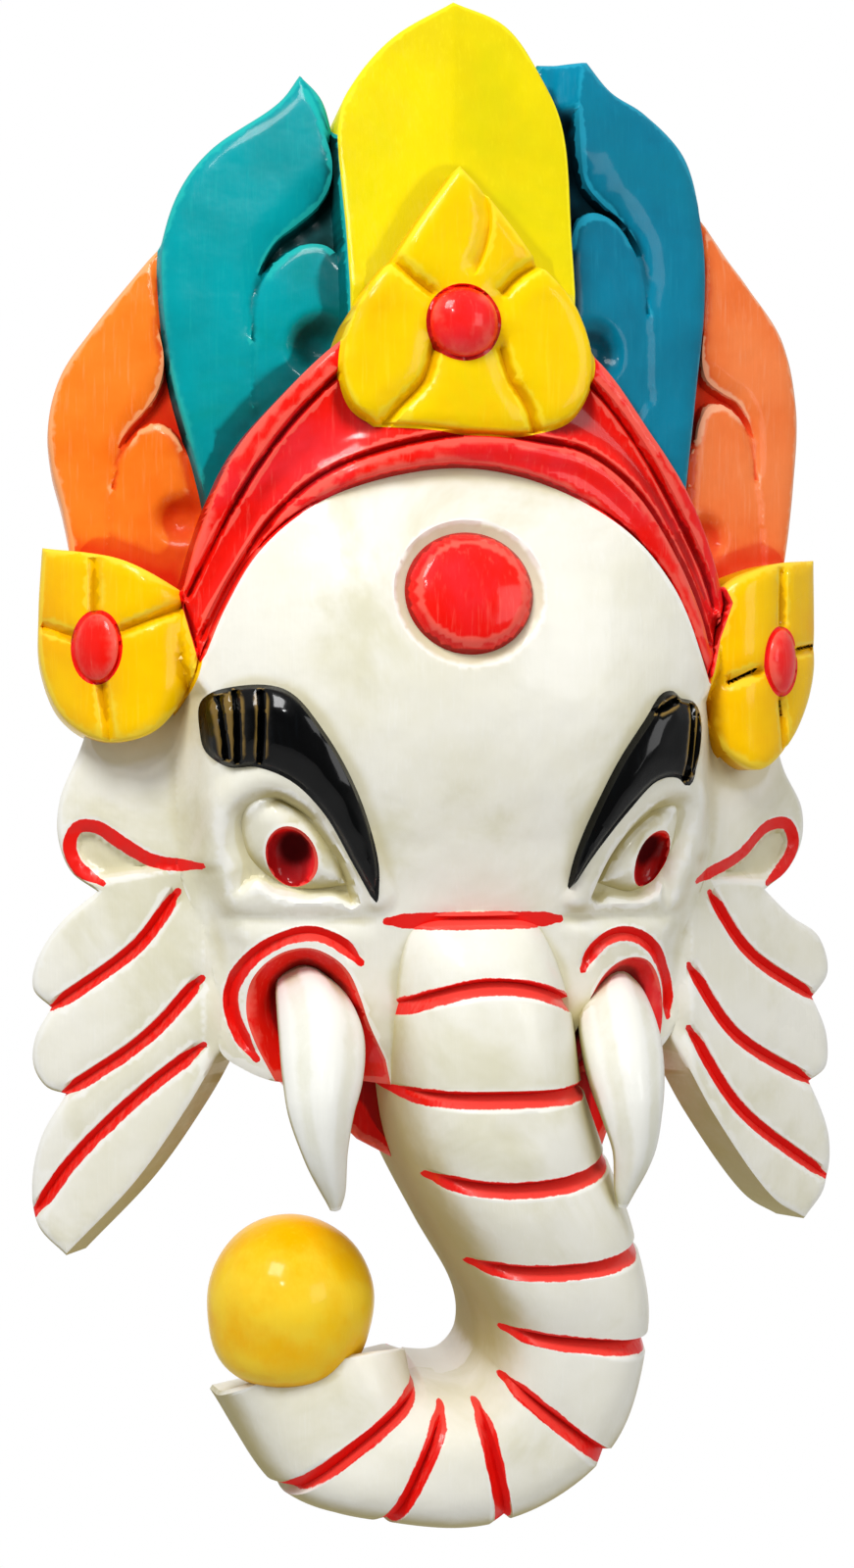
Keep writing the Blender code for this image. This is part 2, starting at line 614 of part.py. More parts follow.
def build_block():
    """Return the mesh of the head and crown, all carved from the front."""
    plan = Plan()
    leaf = loop_of(CROWN_LEAF, CROWN_LEAF_SHARP)
    teals = (loop_of(TEAL_LEFT, TEAL_LEFT_SHARP), loop_of(TEAL_RIGHT, TEAL_RIGHT_SHARP))
    oranges = (loop_of(ORANGE_LEFT, ORANGE_LEFT_SHARP), loop_of(ORANGE_RIGHT, ORANGE_RIGHT_SHARP))
    face = loop_of(FACE, FACE_SHARP)
    band = loop_of(BAND, BAND_SHARP)
    flower = loop_of(FLOWER, FLOWER_SHARP)
    brows = (loop_of(BROW_LEFT, BROW_LEFT_SHARP), loop_of(BROW_RIGHT, BROW_RIGHT_SHARP))
    sides = (
        loop_of(SIDE_FLOWER_LEFT, SIDE_FLOWER_LEFT_SHARP),
        loop_of(SIDE_FLOWER_RIGHT, SIDE_FLOWER_RIGHT_SHARP),
    )
    jaws = (
        loop_of(JAW_LEFT, JAW_SHARP),
        loop_of(JAW_RIGHT, JAW_SHARP),
    )
    sockets = (loop_of(SOCKET_LEFT, SOCKET_SHARP), loop_of(SOCKET_RIGHT, SOCKET_SHARP))
    eyeballs = (loop_of(EYEBALL_LEFT), loop_of(EYEBALL_RIGHT))
    mouths = (loop_of(MOUTH_LEFT, MOUTH_SHARP), loop_of(MOUTH_RIGHT, MOUTH_SHARP))
    teal_hooks = (line_of(TEAL_HOOK_LEFT), line_of(TEAL_HOOK_RIGHT))
    orange_hooks = (line_of(ORANGE_HOOK_LEFT), line_of(ORANGE_HOOK_RIGHT))
    band_grooves = (
        line_of(BAND_INNER_GROOVE, BAND_GROOVE_STEP),
        line_of(BAND_OUTER_GROOVE, BAND_GROOVE_STEP),
    )
    petals = [line_of(line) for line in FLOWER_GROOVES]
    side_petals = [line_of(line) for line in SIDE_GROOVES_LEFT + SIDE_GROOVES_RIGHT]
    curls = (line_of(CURL_LEFT), line_of(CURL_RIGHT))
    bead = oval(FLOWER_BEAD, (BEAD_RADIUS, BEAD_RADIUS), 16)
    tika = oval(TIKA_CENTRE, TIKA_RADII, 20)
    side_beads = (oval(SIDE_BEAD_LEFT, SIDE_BEAD_RADII, 12), oval(SIDE_BEAD_RIGHT, SIDE_BEAD_RADII, 12))
    pupils = (PUPIL_LEFT, PUPIL_RIGHT)

    solids = [leaf, *teals, *oranges, face, band, *sides, *jaws]
    for loop in (leaf, *teals, *oranges, band, flower, *brows, *sides, bead, *side_beads):
        plan.add_form(loop)
    for loop in (face, *jaws, *sockets, *eyeballs, *mouths, tika):
        plan.add(loop, True)
    for loop in mouths:
        plan.add(outset(loop, -MOUTH_SLOPE), True)
    plan.add(outset(tika, TIKA_MOAT), True)
    plan.add(oval(TIKA_CENTRE, (TIKA_RADII[0] * 0.6, TIKA_RADII[1] * 0.6), 12), True)
    for line in (*teal_hooks, *orange_hooks):
        plan.add(line)
    plan.add(beside(teal_hooks[0], HOOK_WALL))
    plan.add(beside(teal_hooks[1], -HOOK_WALL))
    plan.add(beside(orange_hooks[0], HOOK_WALL))
    plan.add(beside(orange_hooks[1], -HOOK_WALL))
    plan.add(np.array(LEAF_SPINE))
    for line in band_grooves:
        plan.add_groove(line, BAND_GROOVE_HALF, BAND_GROOVE_HALF)
    for line in (*petals, *side_petals):
        plan.add_groove(line, PETAL_GROOVE_HALF, PETAL_GROOVE_HALF)
    for line in curls:
        plan.add_groove(line, CURL_GROOVE_HALF, CURL_GROOVE_HALF)
    for centre in pupils:
        plan.add(oval(centre, PUPIL_RADII, 14), True)
        plan.add(oval(centre, [r * PUPIL_FLOOR_SHARE for r in PUPIL_RADII], 8), True)
    spots, faces = plan.net(solids, GRID_STEP)

    height = np.zeros(len(spots))
    across = np.abs(spots[:, 0])
    up = spots[:, 1]
    inner_sides = (1, -1)
    top = ORANGE_INNER_DEPTH - ORANGE_FALL * (across - ORANGE_INNER_EDGE)
    for line, inner, centre in zip(orange_hooks, inner_sides, (ORANGE_DISH_LEFT, ORANGE_DISH_RIGHT)):
        top = leaf_hook(top, spots, line, inner, 0.3)
        top = dished(top, spots, centre, DISH_RADIUS * 0.8, DISH_DEPTH * 0.7)
    for loop in oranges:
        height = raised_on(height, spots, loop, top)
    top = TEAL_INNER_DEPTH - TEAL_FALL * (across - TEAL_INNER_EDGE)
    top = top - TEAL_TIP_FALL * np.clip(up - LEAF_FOOT_LEVEL, 0.0, None)
    for line, inner, centre in zip(teal_hooks, inner_sides, (TEAL_DISH_LEFT, TEAL_DISH_RIGHT)):
        top = leaf_hook(top, spots, line, inner, 0.34)
        top = dished(top, spots, centre, DISH_RADIUS, DISH_DEPTH)
    for loop in teals:
        height = raised_on(height, spots, loop, top)
    slope = (LEAF_FOOT_DEPTH - LEAF_TIP_DEPTH) / (LEAF_TIP_LEVEL - LEAF_FOOT_LEVEL)
    top = LEAF_TIP_DEPTH + slope * (LEAF_TIP_LEVEL - np.maximum(up, LEAF_FOOT_LEVEL))
    upward = LEAF_SPINE[::-1]
    spine = np.interp(up, [mark[1] for mark in upward], [mark[0] for mark in upward])
    top = top + LEAF_RIDGE * (1.0 - np.abs(spots[:, 0] - spine) / LEAF_HALF_WIDTH)
    height = raised_on(height, spots, leaf, top)
    for loop in jaws:
        height = raised_on(height, spots, loop, JAW_DEPTH)

    top = face_height(spots)
    for socket, eyeball, centre in zip(sockets, eyeballs, pupils):
        top = top - SOCKET_DEPTH * sunk_share(spots, socket, SOCKET_SLOPE)
        top = top + EYEBALL_RISE * sunk_share(spots, eyeball, EYEBALL_SLOPE) ** 0.6
        reach = oval_reach(spots, centre, PUPIL_RADII)
        bowl = np.clip((1.0 - reach) / (1.0 - PUPIL_FLOOR_SHARE), 0.0, 1.0)
        top = top - PUPIL_DEPTH * bowl
    for line in curls:
        top = cut_groove(
            top, spots, line, CURL_GROOVE_DEPTH, CURL_GROOVE_HALF, CURL_GROOVE_HALF
        )
    for loop in mouths:
        share = sunk_share(spots, loop, MOUTH_SLOPE)
        top = top * (1.0 - share) + np.minimum(top, MOUTH_DEPTH) * share
    height = raised_on(height, spots, face, top)

    top = roof_height(spots)
    for line in side_petals:
        top = cut_groove(
            top, spots, line, SIDE_GROOVE_DEPTH, PETAL_GROOVE_HALF, PETAL_GROOVE_HALF, 0.05
        )
    for loop in sides:
        lifted = np.maximum(top, np.minimum(height, top + SIDE_FLOWER_LIFT))
        height = raised_on(height, spots, loop, lifted)
    for loop, centre in zip(side_beads, (SIDE_BEAD_LEFT, SIDE_BEAD_RIGHT)):
        dome = np.sqrt(np.clip(1.02 - oval_reach(spots, centre, SIDE_BEAD_RADII) ** 2, 0.0, 1.0))
        height = raised_on(height, spots, loop, roof_height(spots) + SIDE_BEAD_RISE * dome)

    top = BAND_EDGE_DEPTH + BAND_RISE * bulge(spots[:, 0], BAND_HALF_WIDTH, 2.2, 0.62)
    for line in band_grooves:
        top = cut_groove(
            top, spots, line, BAND_GROOVE_DEPTH, BAND_GROOVE_HALF, BAND_GROOVE_HALF, 0.01
        )
    height = raised_on(height, spots, band, top)

    flower_depth = LEAF_FOOT_DEPTH + FLOWER_THICKNESS
    top = np.full(len(spots), flower_depth)
    for line in petals:
        top = cut_groove(
            top, spots, line, PETAL_GROOVE_DEPTH, PETAL_GROOVE_HALF, PETAL_GROOVE_HALF, 0.05
        )
    height = raised_on(height, spots, flower, top)
    radii = (BEAD_RADIUS, BEAD_RADIUS)
    dome = np.sqrt(np.clip(1.02 - oval_reach(spots, FLOWER_BEAD, radii) ** 2, 0.0, 1.0))
    height = raised_on(height, spots, bead, flower_depth + BEAD_RISE * dome)

    reach = oval_reach(spots, TIKA_CENTRE, TIKA_RADII)
    moat = np.clip(1.0 - np.abs(reach - 1.0) * TIKA_RADII[0] / TIKA_MOAT, 0.0, 1.0)
    height = height + TIKA_RISE * np.sqrt(np.clip(1.0 - reach ** 2, 0.0, 1.0))
    height = height - TIKA_MOAT_DEPTH * moat
    for loop in brows:
        crown = sunk_share(spots, loop, BROW_CROWN_SLOPE) ** 0.7
        top = face_height(spots) + BROW_EDGE_RISE + BROW_CROWN_RISE * crown
        height = raised_on(height, spots, loop, top)

    bm = bmesh.new()
    verts = [bm.verts.new((x, -h, z)) for (x, z), h in zip(spots, height)]
    for face_points in faces:
        bm.faces.new([verts[k] for k in face_points])
    bmesh.ops.delete(bm, geom=[v for v in bm.verts if not v.link_faces], context="VERTS")
    close_behind(bm, BACK_MARGIN)
    return mesh_from(bm, "mask")


def close_behind(bm, back):
    """Drop a wall from the open edge to a flat plane behind and fill it."""
    rim = [edge for edge in bm.edges if edge.is_boundary]
    made = bmesh.ops.extrude_edge_only(bm, edges=rim)["geom"]
    for item in made:
        if isinstance(item, bmesh.types.BMVert):
            item.co.y = back
    rim = [edge for edge in bm.edges if edge.is_boundary]
    bmesh.ops.triangle_fill(bm, edges=rim, use_beauty=True, use_dissolve=False)


def build_ear(points, sharp, grooves, curl, name):
    """Return the mesh of one ear: a leaning slab with its walls square to it."""
    plan = Plan()
    outline = loop_of(points, sharp)
    lines = [line_of(line, EAR_GROOVE_STEP) for line in grooves]
    rim = line_of(curl)
    plan.add(outline, True)
    for line in lines:
        plan.add_groove(line, EAR_GROOVE_HALF, EAR_GROOVE_HALF)
    plan.add_groove(rim, CURL_GROOVE_HALF, CURL_GROOVE_HALF)
    spots, faces = plan.net([outline], GRID_STEP * 1.2)
    height = ear_height(spots)
    height = height - EAR_HOLLOW_DEPTH * sunk_share(spots, rim, EAR_HOLLOW_SLOPE)
    for line in lines:
        height = cut_groove(
            height, spots, line, EAR_GROOVE_DEPTH, EAR_GROOVE_HALF, EAR_GROOVE_HALF, 0.05
        )
    height = cut_groove(
        height, spots, rim, EAR_RIM_DEPTH, CURL_GROOVE_HALF, CURL_GROOVE_HALF, 0.05
    )
    lean = math.atan(EAR_FALL)
    side = 1.0 if points[0][0] > 0 else -1.0
    bm = bmesh.new()
    front = [bm.verts.new((x, -h, z)) for (x, z), h in zip(spots, height)]
    for face_points in faces:
        bm.faces.new([front[k] for k in face_points])
    bmesh.ops.delete(bm, geom=[v for v in bm.verts if not v.link_faces], context="VERTS")
    rim_edges = [edge for edge in bm.edges if edge.is_boundary]
    made = bmesh.ops.extrude_edge_only(bm, edges=rim_edges)["geom"]
    for item in made:
        if isinstance(item, bmesh.types.BMVert):
            flat = -ear_height(np.array([(item.co.x, item.co.z)]))[0]
            item.co.y = flat + EAR_THICKNESS * math.cos(lean)
            item.co.x -= side * EAR_THICKNESS * math.sin(lean)
    rim_edges = [edge for edge in bm.edges if edge.is_boundary]
    bmesh.ops.triangle_fill(bm, edges=rim_edges, use_beauty=True, use_dissolve=False)
    return mesh_from(bm, name)


def build_trunk():
    """Return the mesh of the trunk swept down, round and up to its tip."""
    stations = np.array(TRUNK_STATIONS, float)
    last = len(stations) - 1
    places = set()
    for number in range(last):
        places.update((number + 0.4, number + 0.7))
    floors = set()
    for number in TRUNK_GROOVES:
        places.update((number - TRUNK_GROOVE_UPPER, number, number + TRUNK_GROOVE_LOWER))
        floors.add(number)
    places.update((0, last))
    tail = 2 * stations[-1] - stations[-2]
    head = 2 * stations[0] - stations[1]
    table = np.vstack([head, stations, tail])
    bm = bmesh.new()
    rings = []
    for place in sorted(places):
        values = station_at(table, place)
        rings.append(trunk_ring(bm, values, place in floors))
    skin_rings(bm, rings)
    return mesh_from(bm, "trunk")


def station_at(table, place):
    """Return the station values at a place between numbered stations."""
    index = min(int(place), len(table) - 4)
    share = place - index
    a, b, c, d = table[index:index + 4]
    return 0.5 * (
        2 * b + (c - a) * share + (2 * a - 5 * b + 4 * c - d) * share ** 2
        + (3 * b - a - 3 * c + d) * share ** 3
    )


def trunk_ring(bm, values, in_groove):
    """Return one D-shaped ring of the trunk."""
    inner = np.array(values[0:2])
    outer = np.array(values[2:4])
    front, bow = values[4:6]
    across = outer - inner
    ahead = np.array((across[1], -across[0])) / np.linalg.norm(across)
    ring = [bm.verts.new((outer[0], BACK_MARGIN, outer[1])), bm.verts.new((inner[0], BACK_MARGIN, inner[1]))]
    for turn in np.linspace(math.pi, 0.0, TRUNK_RING_POINTS):
        place = math.copysign(abs(math.cos(turn)) ** (2 / TRUNK_SQUARENESS), math.cos(turn))
        rise = math.sin(turn) ** (2 / TRUNK_SQUARENESS) if 0.001 < turn < 3.14 else 0.0
        depth = TRUNK_SIDE_DEPTH + (front - TRUNK_SIDE_DEPTH) * rise
        middle = (inner + outer) / 2 + across / 2 * place - ahead * bow * (1 - place ** 2)
        if in_groove and rise > 0.35:
            fade = min(1.0, (place + 1.0) / 0.5)
            depth -= TRUNK_GROOVE_DEPTH * min(1.0, (rise - 0.35) / 0.3) * fade
            if place > 0.8:
                middle = middle - across / np.linalg.norm(across) * TRUNK_GROOVE_DEPTH * 0.6
        ring.append(bm.verts.new((middle[0], -depth, middle[1])))
    return ring


def skin_rings(bm, rings):
    """Join rings of equal count into a closed tube."""
    for near, far in zip(rings, rings[1:]):
        count = len(near)
        for k in range(count):
            bm.faces.new((near[k], near[(k + 1) % count], far[(k + 1) % count], far[k]))
    bm.faces.new(list(reversed(rings[0])))
    bm.faces.new(rings[-1])


def build_tusk(stations, name):
    """Return the mesh of one tusk, faceted and drawn to a blunt point."""
    path = eased([station for station in stations], False)
    path = spaced(path, TUSK_STEP)
    bm = bmesh.new()
    rings = []
    for index, (x, depth, z, half) in enumerate(path):
        ahead = path[min(index + 1, len(path) - 1)] - path[max(index - 1, 0)]
        forward = Vector((ahead[0], -ahead[1], ahead[2])).normalized()
        sideways = Vector((1.0, 0.0, 0.0)).cross(forward).cross(forward).normalized()
        outward = forward.cross(sideways)
        ring = []
        for turn in np.linspace(0.0, 2.0 * math.pi, TUSK_RING_POINTS, endpoint=False):
            point = Vector((x, -depth, z))
            point += sideways * half * math.cos(turn) + outward * half * math.sin(turn)
            ring.append(bm.verts.new(point))
        rings.append(ring)
    skin_rings(bm, rings)
    return mesh_from(bm, name)


def build_ball():
    """Return the mesh of the ball held in the trunk's tip."""
    bm = bmesh.new()
    bmesh.ops.create_uvsphere(bm, u_segments=20, v_segments=11, radius=BALL_RADIUS)
    x, depth, z = BALL_CENTRE
    bmesh.ops.translate(bm, verts=bm.verts, vec=(x, -depth, z))
    return mesh_from(bm, "ball")


def build_hollow():
    """Return the cutter that hollows the back behind the face."""
    bm = bmesh.new()
    bmesh.ops.create_uvsphere(bm, u_segments=16, v_segments=10, radius=1.0)
    bmesh.ops.scale(bm, verts=bm.verts, vec=HOLLOW_RADII)
    bmesh.ops.translate(bm, verts=bm.verts, vec=(0.0, HOLLOW_SETBACK, HOLLOW_CENTRE_LEVEL))
    return mesh_from(bm, "hollow")


def build_hang_hole():
    """Return the cutter for the blind hole in the upper back."""
    bm = bmesh.new()
    bmesh.ops.create_cone(
        bm, cap_ends=True, segments=HANG_HOLE_SIDES, radius1=HANG_HOLE_RADIUS,
        radius2=HANG_HOLE_RADIUS, depth=HANG_HOLE_DEPTH * 2,
    )
    for vert in bm.verts:
        vert.co = Vector((vert.co.x, vert.co.z, vert.co.y + HANG_HOLE_LEVEL))
    return mesh_from(bm, "hang_hole")


def build_back_cutter():
    """Return the block that planes the back flat."""
    bm = bmesh.new()
    bmesh.ops.create_cube(bm, size=1.0)
    bmesh.ops.scale(bm, verts=bm.verts, vec=PLANE_BLOCK)
    bmesh.ops.translate(bm, verts=bm.verts, vec=(0.0, PLANE_BLOCK[1] / 2, 0.0))
    return mesh_from(bm, "back_plane")


def mesh_from(bm, name):
    """Finish a mesh in millimetres as an object, faces outward."""
    bmesh.ops.recalc_face_normals(bm, faces=bm.faces)
    mesh = bpy.data.meshes.new(name)
    bm.to_mesh(mesh)
    bm.free()
    obj = bpy.data.objects.new(name, mesh)
    bpy.context.scene.collection.objects.link(obj)
    return obj


def combine(target, tool, operation):
    """Join a form to the target or cut it away, and drop the tool."""
    step = target.modifiers.new(operation.lower(), "BOOLEAN")
    step.operation = operation
    step.solver = "EXACT"
    step.object = tool
    tool.hide_render = True
    tool.display_type = "WIRE"
    graph = bpy.context.evaluated_depsgraph_get()
    made = bpy.data.meshes.new_from_object(target.evaluated_get(graph))
    target.modifiers.clear()
    old = target.data
    target.data = made
    bpy.data.meshes.remove(old)
    bpy.data.objects.remove(tool, do_unlink=True)


def painted_wood():
    """Return the material of the painted wood."""
    material = bpy.data.materials.new("painted_wood")
    material.use_nodes = True
    shader = material.node_tree.nodes["Principled BSDF"]
    shader.inputs["Base Color"].default_value = WOOD_COLOUR
    shader.inputs["Roughness"].default_value = 0.35
    return material


def build():
    """Make the mask, one solid."""
    for obj in list(bpy.data.objects):
        bpy.data.objects.remove(obj, do_unlink=True)
    mask = build_block()
    joined = [
        build_ear(EAR_LEFT, EAR_LEFT_SHARP, EAR_GROOVES_LEFT, EAR_CURL_LEFT, "ear_left"),
        build_ear(EAR_RIGHT, EAR_RIGHT_SHARP, EAR_GROOVES_RIGHT, EAR_CURL_RIGHT, "ear_right"),
        build_trunk(),
        build_tusk(TUSK_LEFT, "tusk_left"),
        build_tusk(TUSK_RIGHT, "tusk_right"),
        build_ball(),
    ]
    for form in joined:
        combine(mask, form, "UNION")
    for cutter in (build_back_cutter(), build_hollow(), build_hang_hole()):
        combine(mask, cutter, "DIFFERENCE")
    bm = bmesh.new()
    bm.from_mesh(mask.data)
    bmesh.ops.remove_doubles(bm, verts=bm.verts, dist=0.02)
    bmesh.ops.dissolve_degenerate(bm, edges=bm.edges, dist=0.01)
    bmesh.ops.triangulate(bm, faces=bm.faces)
    bmesh.ops.translate(bm, verts=bm.verts, vec=(0.0, 0.0, -MOUNT_HEIGHT))
    bmesh.ops.scale(bm, verts=bm.verts, vec=(0.001, 0.001, 0.001))
    bm.to_mesh(mask.data)
    bm.free()
    mask.name = "mask"
    mask.data.name = "mask"
    mask.data.materials.clear()
    mask.data.materials.append(painted_wood())
    mask.data.shade_smooth()
    mask.data.set_sharp_from_angle(angle=math.radians(35.0))


build()
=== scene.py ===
"""Carves and paints the elephant-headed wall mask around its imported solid.

The mask is one block of wood.  The front is set out as lines on a plane,
filled with a net of small triangles and raised to the carved depth.  The
ears, trunk, tusks and ball are joined to it, and the back is planed flat,
hollowed and drilled.  Depths are in millimetres forward from the flat back,
x to the right and z up from the middle of the mask.
"""
from __future__ import annotations

import logging
import math
from dataclasses import dataclass, field
from enum import IntEnum

import bmesh
import bpy
import numpy as np
from bmesh.types import BMEdge, BMesh, BMFace, BMVert
from bpy.types import Material, Mesh, Node, NodeSocket, NodeTree, Object, World
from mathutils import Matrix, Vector
from mathutils.bvhtree import BVHTree
from mathutils.geometry import delaunay_2d_cdt
from mathutils.kdtree import KDTree

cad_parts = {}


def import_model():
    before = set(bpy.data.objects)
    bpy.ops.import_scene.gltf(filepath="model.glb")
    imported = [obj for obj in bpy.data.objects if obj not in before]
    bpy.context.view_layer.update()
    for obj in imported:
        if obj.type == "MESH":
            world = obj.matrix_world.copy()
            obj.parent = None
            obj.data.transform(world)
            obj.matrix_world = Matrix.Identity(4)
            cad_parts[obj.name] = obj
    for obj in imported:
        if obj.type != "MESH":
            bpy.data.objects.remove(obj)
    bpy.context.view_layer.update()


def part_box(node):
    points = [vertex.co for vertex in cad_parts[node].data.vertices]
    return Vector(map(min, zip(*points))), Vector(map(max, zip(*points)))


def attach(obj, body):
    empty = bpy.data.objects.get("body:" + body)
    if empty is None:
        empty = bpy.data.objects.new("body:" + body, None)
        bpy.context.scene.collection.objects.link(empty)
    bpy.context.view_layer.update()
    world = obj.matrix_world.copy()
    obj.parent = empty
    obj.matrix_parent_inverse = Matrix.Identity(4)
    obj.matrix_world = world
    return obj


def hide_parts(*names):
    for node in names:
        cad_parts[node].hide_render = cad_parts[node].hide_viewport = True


LOG = logging.getLogger("wall_mask")

Points = tuple[tuple[float, ...], ...]
Spot = tuple[float, float]
Array = np.ndarray

# One millimetre in metres.
MM = 0.001
# Height of the wall mount over the middle of the mask.
MOUNT_LEVEL = 165.0
# Wood left behind the back until it is planed off.
BACK_MARGIN = 6.0
# Width on the plane of a form's upright wall.
WALL = 1.0
# Radius of a form's rounded edge.
EDGE_ROUND = 1.3
# Distance between points along a line, and between the free points of the net.
CURVE_STEP = 1.5
GRID_STEP = 1.35
# The ears' lean: distance from the middle, depth there and fall for each millimetre outward.
EAR_ROOT = 78.0
EAR_ROOT_DEPTH = 44.0
EAR_FALL = 0.56
# How far a planed back's points may lie off the plane.
FLAT_BACK = 0.02
# Distance given to spots that are far from a line.
FAR_OFF = 1e3
# Faces that meet at a sharper angle than this, in degrees, keep a hard edge.
SHARP_ANGLE = 42.0


class Paint(IntEnum):
    """Material slots of the mask, in order."""

    WHITE = 0
    LEMON = 1
    GOLD = 2
    AMBER = 3
    GREEN_TEAL = 4
    BLUE_TEAL = 5
    ORANGE = 6
    SALMON = 7
    RED = 8
    BLACK = 9
    BARE_WOOD = 10
    EAR_WHITE = 11
    TRUNK_WHITE = 12
    TUSK_WHITE = 13


def clipped(value: Array) -> Array:
    """Keep values between 0 and 1."""
    return np.clip(value, 0.0, 1.0)


def mixed(low: Array, high: Array, start: float, end: float, place: float) -> Array:
    """Blend the value at the start with the one at the end by where a place lies between."""
    return low * (end - place) / (end - start) + high * (place - start) / (end - start)


def eased(points: Points, closed: bool) -> Array:
    """Draw a soft line through a few points.

    Args:
        points: Points of any number of values each.
        closed: True if the line comes back to its first point.

    Returns:
        Many points along the line.
    """
    marks = [np.array(point, float) for point in points]
    if len(marks) == 2:
        return np.array([marks[0] + (marks[1] - marks[0]) * share for share in np.linspace(0, 1, 13)])
    count = len(marks)
    made = []
    for index in range(count if closed else count - 1):
        one = marks[index]
        two = marks[(index + 1) % count]
        before = marks[index - 1] if closed or index > 0 else 2 * one - two
        after = marks[(index + 2) % count] if closed or index + 2 < count else 2 * two - one
        knots = [0.0]
        for near, far in ((before, one), (one, two), (two, after)):
            knots.append(knots[-1] + max(float(np.linalg.norm(far - near)), 1e-6) ** 0.5)
        for place in np.linspace(knots[1], knots[2], 14, endpoint=False):
            a1 = mixed(before, one, knots[0], knots[1], place)
            a2 = mixed(one, two, knots[1], knots[2], place)
            a3 = mixed(two, after, knots[2], knots[3], place)
            b1 = mixed(a1, a2, knots[0], knots[2], place)
            b2 = mixed(a2, a3, knots[1], knots[3], place)
            made.append(mixed(b1, b2, knots[1], knots[2], place))
    if not closed:
        made.append(marks[-1])
    return np.array(made)


def spaced(line: Array, step: float) -> Array:
    """Set points along a line at even steps, both ends kept.

    Args:
        line: Points of the line.
        step: Wanted distance between points.

    Returns:
        The evenly spaced points.
    """
    lengths = np.linalg.norm(np.diff(line, axis=0), axis=1)
    along = np.concatenate(([0.0], np.cumsum(lengths)))
    places = np.linspace(0.0, along[-1], max(1, round(along[-1] / step)) + 1)
    return np.stack([np.interp(places, along, line[:, k]) for k in range(line.shape[1])], axis=1)


def closed_line(points: Points, sharp: tuple[int, ...] = (), step: float = CURVE_STEP) -> Array:
    """Draw a closed outline, soft but for its sharp points.

    Args:
        points: A few points round the outline.
        sharp: Numbers of the points that stay sharp.
        step: Distance between the points returned.

    Returns:
        Points round the outline.
    """
    if not sharp:
        line = eased(points, True)
        return spaced(np.vstack([line, line[:1]]), step)[:-1]
    count = len(points)
    spans = []
    for order, start in enumerate(sharp):
        reach = (sharp[(order + 1) % len(sharp)] - start) % count or count
        span = tuple(points[(start + k) % count] for k in range(reach + 1))
        spans.append(spaced(eased(span, False), step)[:-1])
    return np.vstack(spans)


def open_line(points: Points, step: float = CURVE_STEP) -> Array:
    """Draw an open soft line with even steps."""
    return spaced(eased(points, False), step)


def oval(centre: Spot, radii: Spot, tilt: float = 0.0) -> Array:
    """Draw an oval.

    Args:
        centre: Its centre.
        radii: Its half width and half height before tilting.
        tilt: Turn to the left in degrees.

    Returns:
        Points round the oval.
    """
    count = max(12, round(math.pi * sum(radii) / CURVE_STEP))
    turns = np.linspace(0.0, 2.0 * math.pi, count, endpoint=False)
    x = radii[0] * np.cos(turns)
    z = radii[1] * np.sin(turns)
    lean = math.radians(tilt)
    return np.stack(
        [
            centre[0] + x * math.cos(lean) - z * math.sin(lean),
            centre[1] + x * math.sin(lean) + z * math.cos(lean),
        ],
        axis=1,
    )


def oval_reach(
    spots: Array, centre: Spot, radii: Spot, tilt: float = 0.0
) -> Array:
    """Measure how far out of an oval each spot is.

    Args:
        spots: Places on the front plane.
        centre: Centre of the oval.
        radii: Its half width and half height.
        tilt: Its turn to the left in degrees.

    Returns:
        0 at the centre and 1 on the edge.
    """
    lean = math.radians(tilt)
    x = spots[:, 0] - centre[0]
    z = spots[:, 1] - centre[1]
    return np.hypot(
        (x * math.cos(lean) + z * math.sin(lean)) / radii[0],
        (z * math.cos(lean) - x * math.sin(lean)) / radii[1],
    )


def beside(line: Array, distance: float, closed: bool = False) -> Array:
    """Move a line sideways.

    Args:
        line: Points of the line.
        distance: How far; positive is to the left of its direction.
        closed: True for an outline.

    Returns:
        The moved line.
    """
    if closed:
        ahead = np.roll(line, -1, axis=0) - line
        behind = line - np.roll(line, 1, axis=0)
    else:
        ahead = np.vstack([np.diff(line, axis=0), line[-1:] - line[-2:-1]])
        behind = np.vstack([line[1:2] - line[:1], np.diff(line, axis=0)])
    ahead = ahead / np.linalg.norm(ahead, axis=1)[:, None]
    behind = behind / np.linalg.norm(behind, axis=1)[:, None]
    across = ahead + behind
    across = np.stack([-across[:, 1], across[:, 0]], axis=1)
    across = across / np.maximum(np.linalg.norm(across, axis=1), 1e-6)[:, None]
    lean = np.maximum(across[:, 1] * ahead[:, 0] - across[:, 0] * ahead[:, 1], 0.6)
    return line + across * (distance / lean)[:, None]


def outset(loop: Array, distance: float) -> Array:
    """Grow a closed outline outward by a distance, or inward by a negative one."""
    turn = np.sum(loop[:, 0] * np.roll(loop[:, 1], -1) - loop[:, 1] * np.roll(loop[:, 0], -1))
    return beside(loop, -distance if turn > 0 else distance, True)


